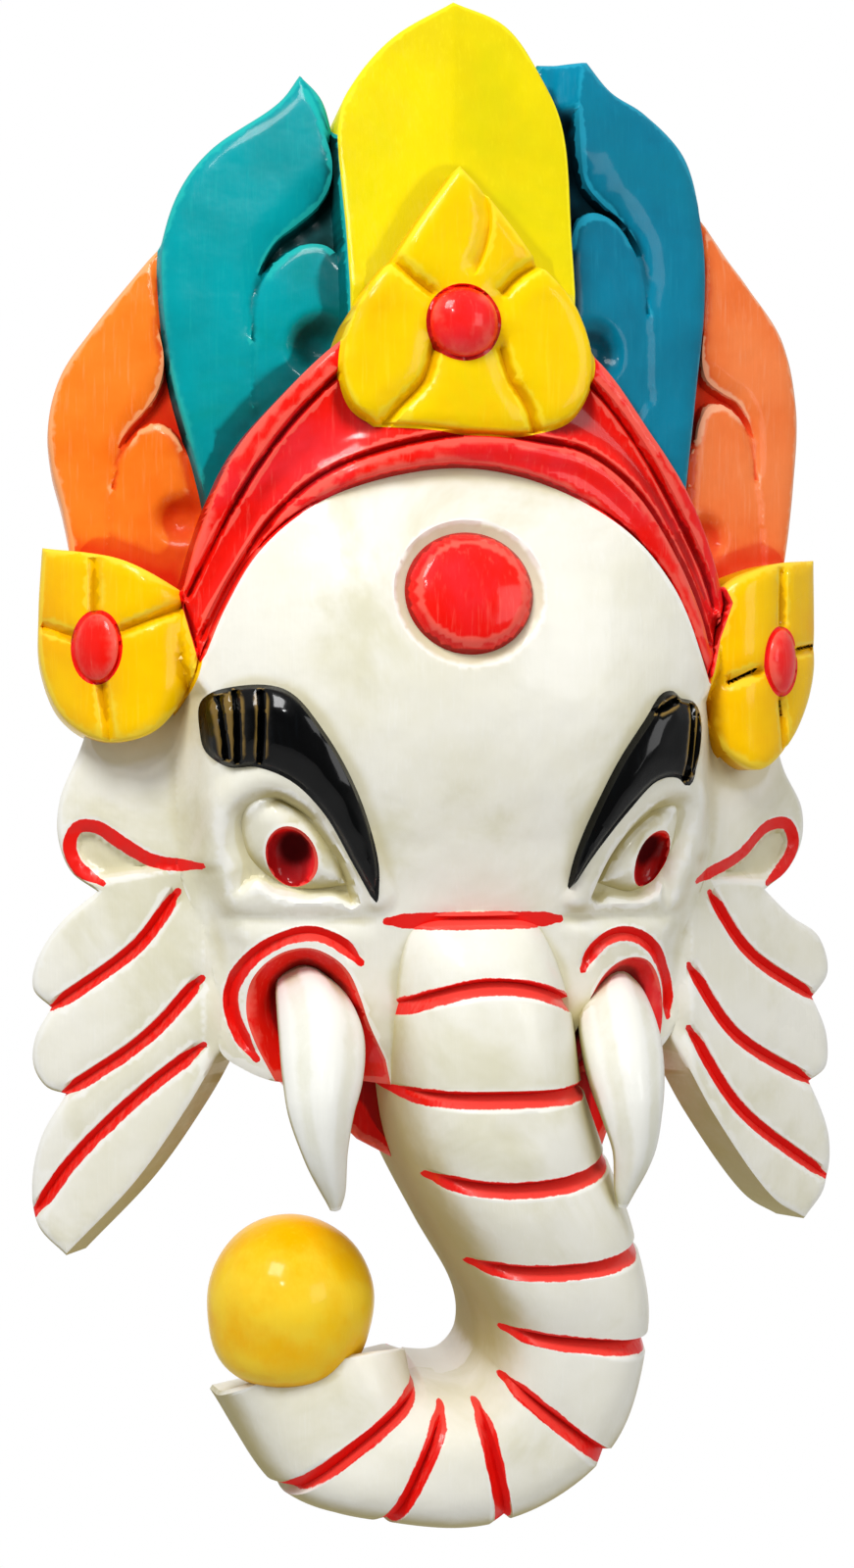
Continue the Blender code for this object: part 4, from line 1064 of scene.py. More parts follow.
@dataclass
class Face:
    """The rounded head: forehead, temples and cheeks, with a raised disc."""

    eyes: tuple[Eye, Eye]
    brows: tuple[Brow, Brow]
    cheeks: tuple[Cheek, Cheek]
    points: Points = (
        (-83, 60), (-87, 20), (-87, -5), (-85, -28), (-77, -47.5), (-73.5, -70), (-73, -82), (-66, -87.5),
        (-56, -91), (-30, -92), (30, -92), (60, -88), (70, -81), (76, -62.5), (75.5, -46.5), (84, -28),
        (88, -5), (88, 20), (86, 60), (60, 100), (0, 118), (-60, 100),
    )
    sharp: tuple[int, ...] = (4, 9, 10, 14)
    half_width: float = 92.0
    edge_depth: float = 36.0
    profile: Points = (
        (-95, 55), (-75, 60.5), (-55, 63.5), (-41, 66), (-20, 72), (0, 78), (20, 81.5), (45, 81), (70, 77),
        (97, 69), (150, 62),
    )
    rims: Points = (
        (-95, 70), (-82, 73), (-70, 74), (-48, 77.5), (-28, 85), (-5, 88), (20, 88), (60, 85),
    )
    rim_blend: float = 13.0
    widths: Points = ((-95, 80), (-60, 83), (-42, 87), (-25, 92), (60, 92))
    crease_level: float = -41.0
    crease_depth: float = 2.0
    crease_half: float = 5.5
    disc_centre: Spot = (-2.1, 56.8)
    disc_radii: Spot = (19.5, 18.5)
    disc_rise: float = 4.4
    moat_width: float = 3.6
    moat_depth: float = 2.4

    def __post_init__(self) -> None:
        """Draw its lines."""
        self.loop = closed_line(self.points, self.sharp)
        self.disc = oval(self.disc_centre, self.disc_radii)
        self.profile_line = eased(self.profile, False)

    def set_out(self, plan: Plan) -> None:
        """Add its lines to the plan."""
        plan.add(self.loop, True)
        plan.add(self.disc, True)
        plan.add(outset(self.disc, self.moat_width), True)
        plan.add(outset(self.disc, -self.moat_width), True)
        for piece in (*self.eyes, *self.brows, *self.cheeks):
            piece.set_out(plan)

    def bare(self, spots: Array) -> Array:
        """Give the depth of the head before its features.

        Args:
            spots: Places on the front plane.

        Returns:
            Depth at each spot.
        """
        x = np.abs(spots[:, 0])
        z = spots[:, 1]
        middle = np.interp(z, self.profile_line[:, 0], self.profile_line[:, 1])
        width = np.interp(z, *np.array(self.widths, float).T)
        arch = np.clip(1.0 - (x / width) ** 2.4, 0.0, None) ** 0.65
        top = self.edge_depth + (middle - self.edge_depth) * arch
        crease = clipped(1.0 - np.abs(z - self.crease_level) / self.crease_half)
        ends = eased_share((x - 24.0) / 12.0) * eased_share((80.0 - x) / 14.0)
        top = top - self.crease_depth * crease ** 1.5 * ends
        ear = EAR_ROOT_DEPTH - EAR_FALL * np.clip(x - EAR_ROOT, 0.0, None)
        rim = np.interp(z, *np.array(self.rims, float).T)
        share = eased_share((rim - x) / self.rim_blend)
        share = np.where(z > 26.0, clipped(share + (z - 26.0) / 12.0), share)
        return top * share + np.minimum(top, ear) * (1.0 - share)

    def carve(self, relief: Relief) -> None:
        """Carve and paint the head and everything on it but the brows."""
        spots = relief.spots
        top = self.bare(spots)
        for cheek in self.cheeks:
            relief.raise_form(cheek.jaw_loop, np.full(len(spots), cheek.jaw_depth), Paint.RED)
        for piece in (*self.eyes, *self.cheeks):
            top = piece.carve(top, spots)
        reach = oval_reach(spots, self.disc_centre, self.disc_radii)
        dome = self.disc_rise * clipped(1.0 - reach ** 2) ** 0.45
        gap = np.abs(reach - 1.0) * self.disc_radii[0] / self.moat_width
        top = top + dome - self.moat_depth * clipped(1.0 - gap) ** 0.8
        relief.raise_form(self.loop, top, Paint.WHITE, None, 0.4)
        for piece in (*self.eyes, *self.cheeks):
            piece.colour(relief)
        relief.brush(self.disc, Paint.RED)

    def carve_brows(self, relief: Relief) -> None:
        """Carve the brows over the eyes."""
        bare = self.bare(relief.spots)
        for brow in self.brows:
            brow.carve(relief, bare)


@dataclass
class Ear:
    """A fanned ear: a leaning slab with three lobes and a looped rim."""

    name: str
    points: Points
    sharp: tuple[int, ...]
    cuts: tuple[Points, ...]
    curl: Points
    root: float = EAR_ROOT
    root_depth: float = EAR_ROOT_DEPTH
    fall: float = EAR_FALL
    thickness: float = 13.0
    cut_depth: float = 2.6
    cut_half: float = 2.4
    curl_depth: float = 1.4
    curl_half: float = 1.9
    hollow_depth: float = 4.5

    def __post_init__(self) -> None:
        """Draw its lines."""
        self.loop = closed_line(self.points, self.sharp)
        self.cut_lines = [open_line(line) for line in self.cuts]
        self.curl_line = open_line(self.curl)

    def flat(self, x: Array) -> Array:
        """Give the depth of its leaning face."""
        return self.root_depth - self.fall * np.clip(np.abs(x) - self.root, 0.0, None)

    def build(self) -> Object:
        """Build the slab with its walls square to its face.

        Returns:
            The ear in millimetres.
        """
        plan = Plan()
        plan.add(self.loop, True)
        plan.add(outset(self.loop, -EDGE_ROUND * 0.4), True)
        plan.add(outset(self.loop, -EDGE_ROUND), True)
        for line in self.cut_lines:
            plan.add_groove(line, self.cut_half, self.cut_half)
        plan.add_groove(self.curl_line, self.curl_half, self.curl_half)
        spots, faces = plan.net([self.loop], GRID_STEP * 1.15)
        depth = self.flat(spots[:, 0])
        nearest = from_lines(spots, self.cut_lines)
        depth = depth - 1.4 * clipped(1.0 - nearest / 9.0) ** 2
        away = from_loop(spots, self.loop)
        depth = depth - 1.0 * clipped(1.0 + away / 4.0) ** 2
        into = np.clip(away + EDGE_ROUND, 0.0, EDGE_ROUND)
        depth = depth - EDGE_ROUND + np.sqrt(np.maximum(EDGE_ROUND ** 2 - into ** 2, 0.0))
        into = clipped(-from_loop(spots, self.curl_line) / 4.0)
        depth = depth - self.hollow_depth * eased_share(into)
        grooves = [(line, self.cut_depth, self.cut_half) for line in self.cut_lines]
        for line, deep, half in (*grooves, (self.curl_line, self.curl_depth, self.curl_half)):
            depth = cut_groove(depth, spots, line, deep, half, half, 0.04)
        bm = bmesh_from(spots, depth, faces, np.full(len(faces), Paint.EAR_WHITE))
        lean = math.atan(self.fall)
        side = 1.0 if self.points[0][0] > 0 else -1.0
        for vert in extruded_rim(bm):
            vert.co.y = -self.flat(vert.co.x) + self.thickness * math.cos(lean)
            vert.co.x -= side * self.thickness * math.sin(lean)
        fill_rim(bm, Paint.EAR_WHITE)
        return object_from(bm, self.name)


@dataclass
class Trunk:
    """The trunk, swept down from the brow and curled up to its tip."""

    stations: Points = (
        (-24, -30, 28, -30, 52, 0),
        (-25, -40.5, 29, -40.5, 68.5, 0),
        (-25, -69, 36, -69, 80.5, 10),
        (-23.5, -92, 39.5, -92, 85, 0),
        (-19, -115, 47, -113, 84, -5),
        (-5, -143, 57.5, -141, 80, -3),
        (7.5, -165, 62, -172, 75, 0),
        (9.5, -179, 49, -210, 71, 0),
        (4, -187, 14.5, -230.5, 68, 0),
        (-4.5, -188, -24, -229, 66, 0),
        (-11.5, -185, -54.5, -217, 63, 0),
        (-14, -172, -73, -183, 58, -3),
    )
    grooves: tuple[int, ...] = (1, 2, 3, 4, 5, 6, 7, 8, 9, 10)
    side_depth: float = 24.0
    squareness: float = 2.9
    ring_points: int = 64
    rings_between: int = 16
    groove_depth: float = 4.0
    groove_upper: float = 0.05
    groove_lower: float = 0.15
    pillow: float = 1.3
    tip_lean: float = 0.26
    tip_from: float = 9.5

    def __post_init__(self) -> None:
        """Extend the stations so that the sweep has neighbours at both ends."""
        rows = np.array(self.stations, float)
        self.table = np.vstack([2 * rows[0] - rows[1], rows, 2 * rows[-1] - rows[-2]])

    def at(self, place: float) -> Array:
        """Read the station values at a place between numbered stations."""
        index = min(int(place), len(self.stations) - 2)
        share = place - index
        a, b, c, d = self.table[index:index + 4]
        return 0.5 * (
            2 * b + (c - a) * share + (2 * a - 5 * b + 4 * c - d) * share ** 2
            + (3 * b - a - 3 * c + d) * share ** 3
        )

    def across(self, place: float, shares: Array) -> Array:
        """Give points across the trunk at a place.

        Args:
            place: Place along the stations.
            shares: From -1 at the inner edge to 1 at the outer edge.

        Returns:
            Points on the front plane.
        """
        values = self.at(place)
        inner, outer, bow = values[0:2], values[2:4], values[5]
        span = outer - inner
        ahead = np.array((span[1], -span[0])) / np.linalg.norm(span)
        middle = (inner + outer) / 2 + span / 2 * shares[:, None]
        return middle - ahead * bow * (1 - shares ** 2)[:, None]

    def groove_lines(self) -> list[Array]:
        """Give the middle of each painted groove on the front plane."""
        shift = (self.groove_lower - self.groove_upper) / 2
        return [
            self.across(place + shift * 0.8, np.linspace(self.groove_start(place), 1, 25))
            for place in self.grooves
        ]

    def groove_start(self, place: float) -> float:
        """Give the share across at which the groove at a place starts."""
        return -0.84 if 3 < place < 9.5 else -1.0

    def notch(self, place: float) -> float:
        """Give how deep the nearest groove is at a place, 0 to 1."""
        best = 0.0
        for number in self.grooves:
            gap = place - number
            half = self.groove_lower if gap > 0 else self.groove_upper
            best = max(best, 1.0 - abs(gap) / half)
        return best

    def build(self) -> Object:
        """Sweep the trunk ring by ring and bridge the rings.

        Returns:
            The trunk in millimetres.
        """
        last = len(self.stations) - 1
        places = set(np.round(np.linspace(0, last, last * self.rings_between + 1), 5))
        for number in self.grooves:
            for gap in (-self.groove_upper, -self.groove_upper * 0.5, 0.0, self.groove_lower * 0.5):
                places.add(round(number + gap, 5))
            places.add(round(number + self.groove_lower, 5))
        places.add(last - 0.035)
        bm = bmesh.new()
        rings = []
        turns = np.linspace(math.pi, 0.0, self.ring_points)
        power = 2.0 / self.squareness
        shares = np.sign(np.cos(turns)) * np.abs(np.cos(turns)) ** power
        rises = clipped(np.sin(turns)) ** power
        for place in sorted(places):
            values = self.at(place)
            middle = self.across(place, shares)
            cut = self.groove_depth * self.notch(place)
            between = place - math.floor(place)
            puff = self.pillow * math.sin(math.pi * between) ** 0.7 if place > 1 else 0.0
            deep = self.side_depth + (values[4] + puff - self.side_depth) * rises
            fade = clipped((shares - self.groove_start(place)) / 0.3)
            deep = deep - cut * clipped((rises - 0.3) / 0.35) * fade
            span = (values[2:4] - values[0:2]) / np.linalg.norm(values[2:4] - values[0:2])
            inward = cut * 0.6 * clipped((shares - 0.75) / 0.2)
            middle = middle - span * inward[:, None]
            wander = lattice_noise(np.column_stack([middle, deep]), 18.0, 5)
            deep = deep + 0.8 * wander * rises
            if place > last - 0.02:
                middle = middle.mean(axis=0) + (middle - middle.mean(axis=0)) * 0.95
                deep = self.side_depth + (deep - self.side_depth) * 0.95
            lean = self.tip_lean * max(0.0, place - self.tip_from) / (last - self.tip_from)
            middle[:, 1] -= lean * (values[4] - deep)
            outer = middle[-1]
            inner = middle[0]
            back_fall = lean * self.side_depth
            ring = [bm.verts.new((outer[0], BACK_MARGIN, outer[1] - back_fall))]
            ring.append(bm.verts.new((inner[0], BACK_MARGIN, inner[1] - back_fall)))
            ring.extend(bm.verts.new((x, -d, z)) for (x, z), d in zip(middle, deep))
            rings.append(ring)
        bridge_rings(bm, rings, Paint.TRUNK_WHITE)
        return object_from(bm, "trunk")


@dataclass
class Tusk:
    """A tusk cut in long flats, drawn to a blunt point."""

    name: str
    stations: Points
    ring_points: int = 28
    step: float = 1.8

    def build(self) -> Object:
        """Sweep the tusk ring by ring and bridge the rings.

        Returns:
            The tusk in millimetres.
        """
        path = spaced(eased(self.stations, False), self.step)
        bm = bmesh.new()
        rings = []
        for index, (x, depth, z, half) in enumerate(path):
            gone = path[min(index + 1, len(path) - 1)] - path[max(index - 1, 0)]
            forward = Vector((gone[0], -gone[1], gone[2])).normalized()
            sideways = Vector((1.0, 0.0, 0.0)).cross(forward).cross(forward).normalized()
            outward = forward.cross(sideways)
            ring = []
            for turn in np.linspace(0.0, 2.0 * math.pi, self.ring_points, endpoint=False):
                flats = 1.0 - 0.045 * (1.0 - math.cos(5.0 * (turn + 0.35)))
                point = Vector((x, -depth, z))
                point += sideways * half * flats * math.cos(turn)
                point += outward * half * flats * math.sin(turn)
                ring.append(bm.verts.new(point))
            rings.append(ring)
        bridge_rings(bm, rings, Paint.TUSK_WHITE)
        return object_from(bm, self.name)


@dataclass
class Ball:
    """The ball held in the trunk's tip."""

    radius: float = 26.5
    centre: tuple[float, float, float] = (-51.3, 41.0, -159.6)
    fullness: float = 0.5

    def build(self) -> Object:
        """Build the ball, a little uneven as cut by hand.

        Returns:
            The ball in millimetres.
        """
        bm = bmesh.new()
        bmesh.ops.create_uvsphere(bm, u_segments=56, v_segments=36, radius=self.radius)
        places = np.array([tuple(vert.co) for vert in bm.verts])
        swell = 0.6 * lattice_noise(places, 15.0, 11) - 0.6
        for vert, grow in zip(bm.verts, swell):
            vert.co *= 1.0 + grow / self.radius
            low = max(0.0, -vert.co.z / self.radius)
            full = 1.0 + self.fullness * low ** 3
            vert.co.x *= full
            vert.co.y *= full
        x, depth, z = self.centre
        bmesh.ops.translate(bm, verts=bm.verts, vec=(x, -depth, z))
        for face in bm.faces:
            face.material_index = Paint.AMBER
        return object_from(bm, "ball")


@dataclass
class Back:
    """The flat back with its hollow and its blind hanging hole."""

    hollow_radii: tuple[float, float, float] = (60.0, 44.0, 92.0)
    hollow_setback: float = 3.0
    hollow_level: float = 20.0
    hole_radius: float = 4.5
    hole_depth: float = 16.0
    hole_level: float = 207.0
    plane_block: tuple[float, float, float] = (400.0, 40.0, 700.0)

    def plane_cutter(self) -> Object:
        """Build the block that planes the back flat."""
        bm = bmesh.new()
        bmesh.ops.create_cube(bm, size=1.0)
        bmesh.ops.scale(bm, verts=bm.verts, vec=self.plane_block)
        bmesh.ops.translate(bm, verts=bm.verts, vec=(0.0, self.plane_block[1] / 2, 0.0))
        return bare_wood_cutter(bm, "back_plane")

    def hollow_cutter(self) -> Object:
        """Build the egg shape that hollows the back, with gouge marks."""
        bm = bmesh.new()
        bmesh.ops.create_uvsphere(bm, u_segments=96, v_segments=64, radius=1.0)
        bmesh.ops.scale(bm, verts=bm.verts, vec=self.hollow_radii)
        places = np.array([tuple(vert.co) for vert in bm.verts])
        gouge = 0.7 * lattice_noise(places * np.array((1.0, 1.0, 0.45)), 8.0, 23) - 0.7
        for vert, grow in zip(bm.verts, gouge):
            vert.co += vert.normal * float(grow)
        bmesh.ops.translate(bm, verts=bm.verts, vec=(0.0, self.hollow_setback, self.hollow_level))
        return bare_wood_cutter(bm, "hollow")

    def hole_cutter(self) -> Object:
        """Build the drill of the hanging hole."""
        bm = bmesh.new()
        bmesh.ops.create_cone(
            bm, cap_ends=True, segments=32, radius1=self.hole_radius, radius2=self.hole_radius,
            depth=self.hole_depth * 2,
        )
        for vert in bm.verts:
            vert.co = Vector((vert.co.x, vert.co.z, vert.co.y + self.hole_level))
        return bare_wood_cutter(bm, "hang_hole")


def bmesh_from(
    spots: Array, depth: Array, faces: Array, paint: Array
) -> BMesh:
    """Raise a net of triangles to its carved depth.

    Args:
        spots: Places on the front plane.
        depth: Depth of each spot.
        faces: Triangles of spot numbers.
        paint: Paint of each triangle.

    Returns:
        The open surface.
    """
    mesh = bpy.data.meshes.new("net")
    verts = np.column_stack([spots[:, 0], -depth, spots[:, 1]])
    mesh.from_pydata(verts.tolist(), [], faces.tolist())
    mesh.polygons.foreach_set("material_index", paint.astype(np.int32))
    bm = bmesh.new()
    bm.from_mesh(mesh)
    bpy.data.meshes.remove(mesh)
    bmesh.ops.delete(bm, geom=[v for v in bm.verts if not v.link_faces], context="VERTS")
    return bm


def extruded_rim(bm: BMesh) -> list[BMVert]:
    """Extrude the open edge of a surface and return the new vertices."""
    rim = [edge for edge in bm.edges if edge.is_boundary]
    made = bmesh.ops.extrude_edge_only(bm, edges=rim)["geom"]
    return [item for item in made if isinstance(item, BMVert)]


def fill_flat(
    bm: BMesh, rim: list[BMEdge], paint: Paint,
    facing: tuple[float, float, float] = (0.0, 0.0, 0.0),
) -> None:
    """Fill a rim with flat triangles and paint them.

    Args:
        bm: The mesh.
        rim: Edges round the hole, and round what stands in it.
        paint: Paint of the fill.
        facing: Way the fill faces, or zeros to find it.
    """
    made = bmesh.ops.triangle_fill(
        bm, edges=rim, normal=facing, use_beauty=True, use_dissolve=False
    )["geom"]
    for item in made:
        if isinstance(item, BMFace):
            item.material_index = paint


def fill_rim(bm: BMesh, paint: Paint) -> None:
    """Fill the open edge of a surface flat and paint the fill."""
    fill_flat(bm, [edge for edge in bm.edges if edge.is_boundary], paint)


def refill_back(bm: BMesh) -> None:
    """Fill the planed back anew round its hollow and hole, without folded triangles."""
    flat = [face for face in bm.faces if all(abs(vert.co.y) < FLAT_BACK for vert in face.verts)]
    known = set(flat)
    rim = [
        edge for edge in bm.edges
        if 0 < sum(face in known for face in edge.link_faces) < len(edge.link_faces)
    ]
    bmesh.ops.delete(bm, geom=flat, context="FACES_KEEP_BOUNDARY")
    fill_flat(bm, rim, Paint.BARE_WOOD, (0.0, 1.0, 0.0))


def bridge_rings(bm: BMesh, rings: list[list[BMVert]], paint: Paint) -> None:
    """Join rings of equal count into a closed tube.

    Args:
        bm: The mesh that holds the rings.
        rings: Vertices of each ring in order.
        paint: Paint of the tube.
    """
    count = len(rings[0])
    for near, far in zip(rings, rings[1:]):
        for k in range(count):
            bm.faces.new((near[k], near[(k + 1) % count], far[(k + 1) % count], far[k]))
    bm.faces.new(list(reversed(rings[0])))
    bm.faces.new(rings[-1])
    for face in bm.faces:
        face.material_index = paint


def bare_wood_cutter(bm: BMesh, name: str) -> Object:
    """Finish a cutter whose cuts show bare wood."""
    for face in bm.faces:
        face.material_index = Paint.BARE_WOOD
    return object_from(bm, name)


def object_from(bm: BMesh, name: str) -> Object:
    """Finish a mesh as an object with its faces outward.

    Args:
        bm: The mesh, freed here.
        name: Name of the object.

    Returns:
        The object, linked to the scene.
    """
    bmesh.ops.recalc_face_normals(bm, faces=bm.faces)
    mesh = bpy.data.meshes.new(name)
    bm.to_mesh(mesh)
    bm.free()
    for _ in Paint:
        mesh.materials.append(None)
    obj = bpy.data.objects.new(name, mesh)
    bpy.context.scene.collection.objects.link(obj)
    return obj


def combine(target: Object, tool: Object, operation: str) -> None:
    """Join a form to the target or cut it away, and drop the tool.

    Args:
        target: The piece that stays.
        tool: The form joined or cut away.
        operation: UNION or DIFFERENCE.
    """
    step = target.modifiers.new(operation.lower(), "BOOLEAN")
    step.operation = operation
    step.solver = "MANIFOLD"
    step.object = tool
    graph = bpy.context.evaluated_depsgraph_get()
    made = bpy.data.meshes.new_from_object(target.evaluated_get(graph))
    target.modifiers.clear()
    old = target.data
    target.data = made
    bpy.data.meshes.remove(old)
    bpy.data.objects.remove(tool, do_unlink=True)


def read_rows(
    items: bpy.types.bpy_prop_collection, name: str, width: int = 1, kind: type = np.float32
) -> Array:
    """Read one property of every part of a mesh.

    Args:
        items: Vertices, edges, faces or corners.
        name: The property.
        width: How many numbers each part holds.
        kind: Type of the numbers in the mesh.

    Returns:
        One row for each part.
    """
    values = np.empty(len(items) * width, kind)
    items.foreach_get(name, values)
    return values.reshape(-1, width).astype(float if kind is np.float32 else int)


class Mask:
    """The whole carved mask."""

    def __init__(self) -> None:
        """Set out its parts."""
        self.leaves = crown_leaves()
        self.middle_leaf = MiddleLeaf()
        self.headband = Headband()
        self.flower = CentreFlower()
        self.side_flowers = side_flowers()
        self.face = whole_face()
        self.ears = both_ears()
        self.trunk = Trunk()
        self.tusks = both_tusks()
        self.ball = Ball()
        self.back = Back()

    def build_front(self) -> Object:
        """Carve the head and crown in relief.

        Returns:
            The block in millimetres.
        """
        plan = Plan()
        parts = (*self.leaves, self.middle_leaf, self.headband, self.flower, *self.side_flowers)
        for part in (*parts, self.face):
            part.set_out(plan)
        solids = [part.loop for part in parts] + [self.face.loop]
        solids += [cheek.jaw_loop for cheek in self.face.cheeks]
        spots, faces = plan.net(solids, GRID_STEP)
        relief = Relief(spots, faces)
        for leaf in self.leaves:
            leaf.carve(relief)
        self.middle_leaf.carve(relief)
        self.face.carve(relief)
        for flower in self.side_flowers:
            flower.carve(relief)
        self.headband.carve(relief)
        self.flower.carve(relief)
        self.face.carve_brows(relief)
        # Hand-cut wood is never even: long swells with finer ones on them.
        places = np.column_stack([spots, relief.depth])
        relief.depth += 0.35 * lattice_noise(places, 19.0, 3) + 0.12 * lattice_noise(places, 6.0, 4)
        bm = bmesh_from(spots, relief.depth, faces, relief.paint)
        for vert in extruded_rim(bm):
            vert.co.y = BACK_MARGIN
        fill_rim(bm, Paint.BARE_WOOD)
        return object_from(bm, "mask_carving")

    def build(self) -> Object:
        """Join every form into one piece and cut the back.

        Returns:
            The mask in millimetres, not yet placed on the wall.
        """
        mask = self.build_front()
        LOG.info("front: %d triangles", len(mask.data.polygons))
        for form in (*self.ears, self.trunk, *self.tusks, self.ball):
            combine(mask, form.build(), "UNION")
            LOG.info("joined %s: %d faces", type(form).__name__, len(mask.data.polygons))
        back = self.back
        for cutter in (back.plane_cutter(), back.hollow_cutter(), back.hole_cutter()):
            combine(mask, cutter, "DIFFERENCE")
        return mask

    def finish(self, mask: Object, box: tuple[Vector, Vector]) -> None:
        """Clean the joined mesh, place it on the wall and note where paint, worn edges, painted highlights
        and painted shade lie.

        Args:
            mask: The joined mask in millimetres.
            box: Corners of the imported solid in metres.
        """
        bm = bmesh.new()
        bm.from_mesh(mask.data)
        bmesh.ops.remove_doubles(bm, verts=bm.verts, dist=0.01)
        bmesh.ops.dissolve_degenerate(bm, edges=bm.edges, dist=0.005)
        refill_back(bm)
        bmesh.ops.triangulate(bm, faces=bm.faces)
        bm.to_mesh(mask.data)
        bm.free()
        mesh = mask.data
        LinesWearAndShade(self).note(mesh)
        places = read_rows(mesh.vertices, "co", 3)
        places[:, 2] -= MOUNT_LEVEL
        places = np.clip(places * MM, np.array(box[0]), np.array(box[1]))
        mesh.vertices.foreach_set("co", places.astype(np.float32).ravel())
        mesh.shade_smooth()
        mesh.set_sharp_from_angle(angle=math.radians(SHARP_ANGLE))
        mesh.update()


@dataclass
class LinesWearAndShade:
    """Works out where lines are painted, where edges are worn and painted lighter as a highlight, and
    where shade is painted into hollows and sheltered places.
    """

    mask: Mask
    rays: int = 14
    ray_length: float = 30.0
    edge_rounds: int = 3
    hollow_rounds: int = 40
    shelter_rounds: int = 4
    side_limit: float = 0.2
    no_line: float = 9.0

    def note(self, mesh: Mesh) -> None:
        """Store what the finishes read as attributes on the mesh."""
        places = read_rows(mesh.vertices, "co", 3)
        normals = read_rows(mesh.vertices, "normal", 3)
        edges = read_rows(mesh.edges, "vertices", 2, np.int32)
        # Raised edges get worn paint with a painted highlight; hollows get painted shade.
        self.store(mesh, "wear_and_highlight", self.bend(places, normals, edges, self.edge_rounds))
        self.store(mesh, "hollow", self.bend(places, normals, edges, self.hollow_rounds))
        # Painted shade: rays find how closed in each vertex is, and the pupils' painted shade is added to
        # it.
        shelter = self.softened(self.sheltered(mesh, places, normals), edges, self.shelter_rounds)
        for eye in self.mask.face.eyes:
            shelter = shelter + eye.shade(places[:, [0, 2]])
        self.store(mesh, "shelter", shelter)
        self.store(mesh, "red_line", self.line_reach(mesh, places), "CORNER")

    @staticmethod
    def store(mesh: Mesh, name: str, values: Array, domain: str = "POINT") -> None:
        """Store one value for each vertex, or for each face corner."""
        layer = mesh.attributes.new(name, "FLOAT", domain)
        layer.data.foreach_set("value", values.astype(np.float32))

    @staticmethod
    def softened(values: Array, edges: Array, rounds: int) -> Array:
        """Average one value for each vertex with its neighbours', several times over."""
        count = len(values)
        links = np.maximum(np.bincount(edges.ravel(), minlength=count), 1)
        for _ in range(rounds):
            total = np.bincount(edges[:, 0], values[edges[:, 1]], count)
            total = total + np.bincount(edges[:, 1], values[edges[:, 0]], count)
            values = 0.5 * values + 0.5 * total / links
        return values

    @staticmethod
    def bend(places: Array, normals: Array, edges: Array, rounds: int) -> Array:
        """Measure how far each vertex stands out of its softened surroundings.

        Args:
            places: Vertex positions.
            normals: Vertex normals.
            edges: Pairs of vertex numbers.
            rounds: How often the surroundings are softened.

        Returns:
            Millimetres, positive on edges and negative in hollows.
        """
        soft = [LinesWearAndShade.softened(places[:, axis], edges, rounds) for axis in range(3)]
        soft = np.stack(soft, axis=1)
        return np.sum((places - soft) * normals, axis=1)

    def sheltered(self, mesh: Mesh, places: Array, normals: Array) -> Array:
        """Measure how much of its surroundings each vertex sees blocked.

        Args:
            mesh: The mesh itself.
            places: Vertex positions.
            normals: Vertex normals.

        Returns:
            0 in the open to 1 where everything near is closed in.
        """
        bm = bmesh.new()
        bm.from_mesh(mesh)
        tree = BVHTree.FromBMesh(bm)
        bm.free()
        golden = math.pi * (3.0 - math.sqrt(5.0))
        blocked = np.zeros(len(places))
        helper = np.where(np.abs(normals[:, 2:3]) < 0.8, (0.0, 0.0, 1.0), (1.0, 0.0, 0.0))
        tangent = np.cross(normals, helper)
        tangent /= np.maximum(np.linalg.norm(tangent, axis=1), 1e-6)[:, None]
        second = np.cross(normals, tangent)
        starts = places + normals * 0.25
        for number in range(self.rays):
            rise = math.sqrt(1.0 - (number + 0.5) / self.rays)
            flat = math.sqrt(1.0 - rise * rise)
            turn = number * golden
            ways = normals * rise + (tangent * math.cos(turn) + second * math.sin(turn)) * flat
            for index, (start, way) in enumerate(zip(starts, ways)):
                hit = tree.ray_cast(start, way, self.ray_length)
                if hit[0] is not None:
                    blocked[index] += 1.0 - hit[3] / self.ray_length
        return blocked / self.rays

    def line_reach(self, mesh: Mesh, places: Array) -> Array:
        """Measure how near each face corner is to a red painted line.

        Args:
            mesh: The mesh itself.
            places: Vertex positions.

        Returns:
            0 on a line's middle and 1 on its edge, for each face corner.
        """
        plane = places[:, [0, 2]]
        rings = self.mask.trunk.groove_lines()
        head = [(cheek.curl_line, cheek.curl_half) for cheek in self.mask.face.cheeks]
        for ear in self.mask.ears:
            head.extend((line, ear.cut_half * 0.9) for line in ear.cut_lines)
            head.append((ear.curl_line, ear.curl_half * 1.1))
        lines = {
            Paint.WHITE: head + [(rings[0], 2.4)],
            Paint.EAR_WHITE: head,
            Paint.TRUNK_WHITE: [(line, 2.6) for line in rings],
            Paint.BLACK: [(line, 2.4) for brow in self.mask.face.brows for line in brow.flute_lines],
        }
        slots = read_rows(mesh.polygons, "material_index", 1, np.int32)[:, 0]
        corners = read_rows(mesh.loops, "vertex_index", 1, np.int32)[:, 0]
        corner_slots = np.repeat(slots, 3)
        ahead = np.repeat(read_rows(mesh.polygons, "normal", 3)[:, 1] < self.side_limit, 3)
        reach = np.full(len(corners), self.no_line)
        for paint, marks in lines.items():
            nearest = np.full(len(plane), self.no_line)
            for line, half in marks:
                distance, _, along = from_line(plane, line, 8.0)
                ends = np.clip(np.minimum(along, 1.0 - along) / 0.1, 0.25, 1.0)
                nearest = np.minimum(nearest, distance / (half * ends ** 0.5))
            chosen = (corner_slots == paint) & ahead
            reach[chosen] = nearest[corners[chosen]]
        return reach


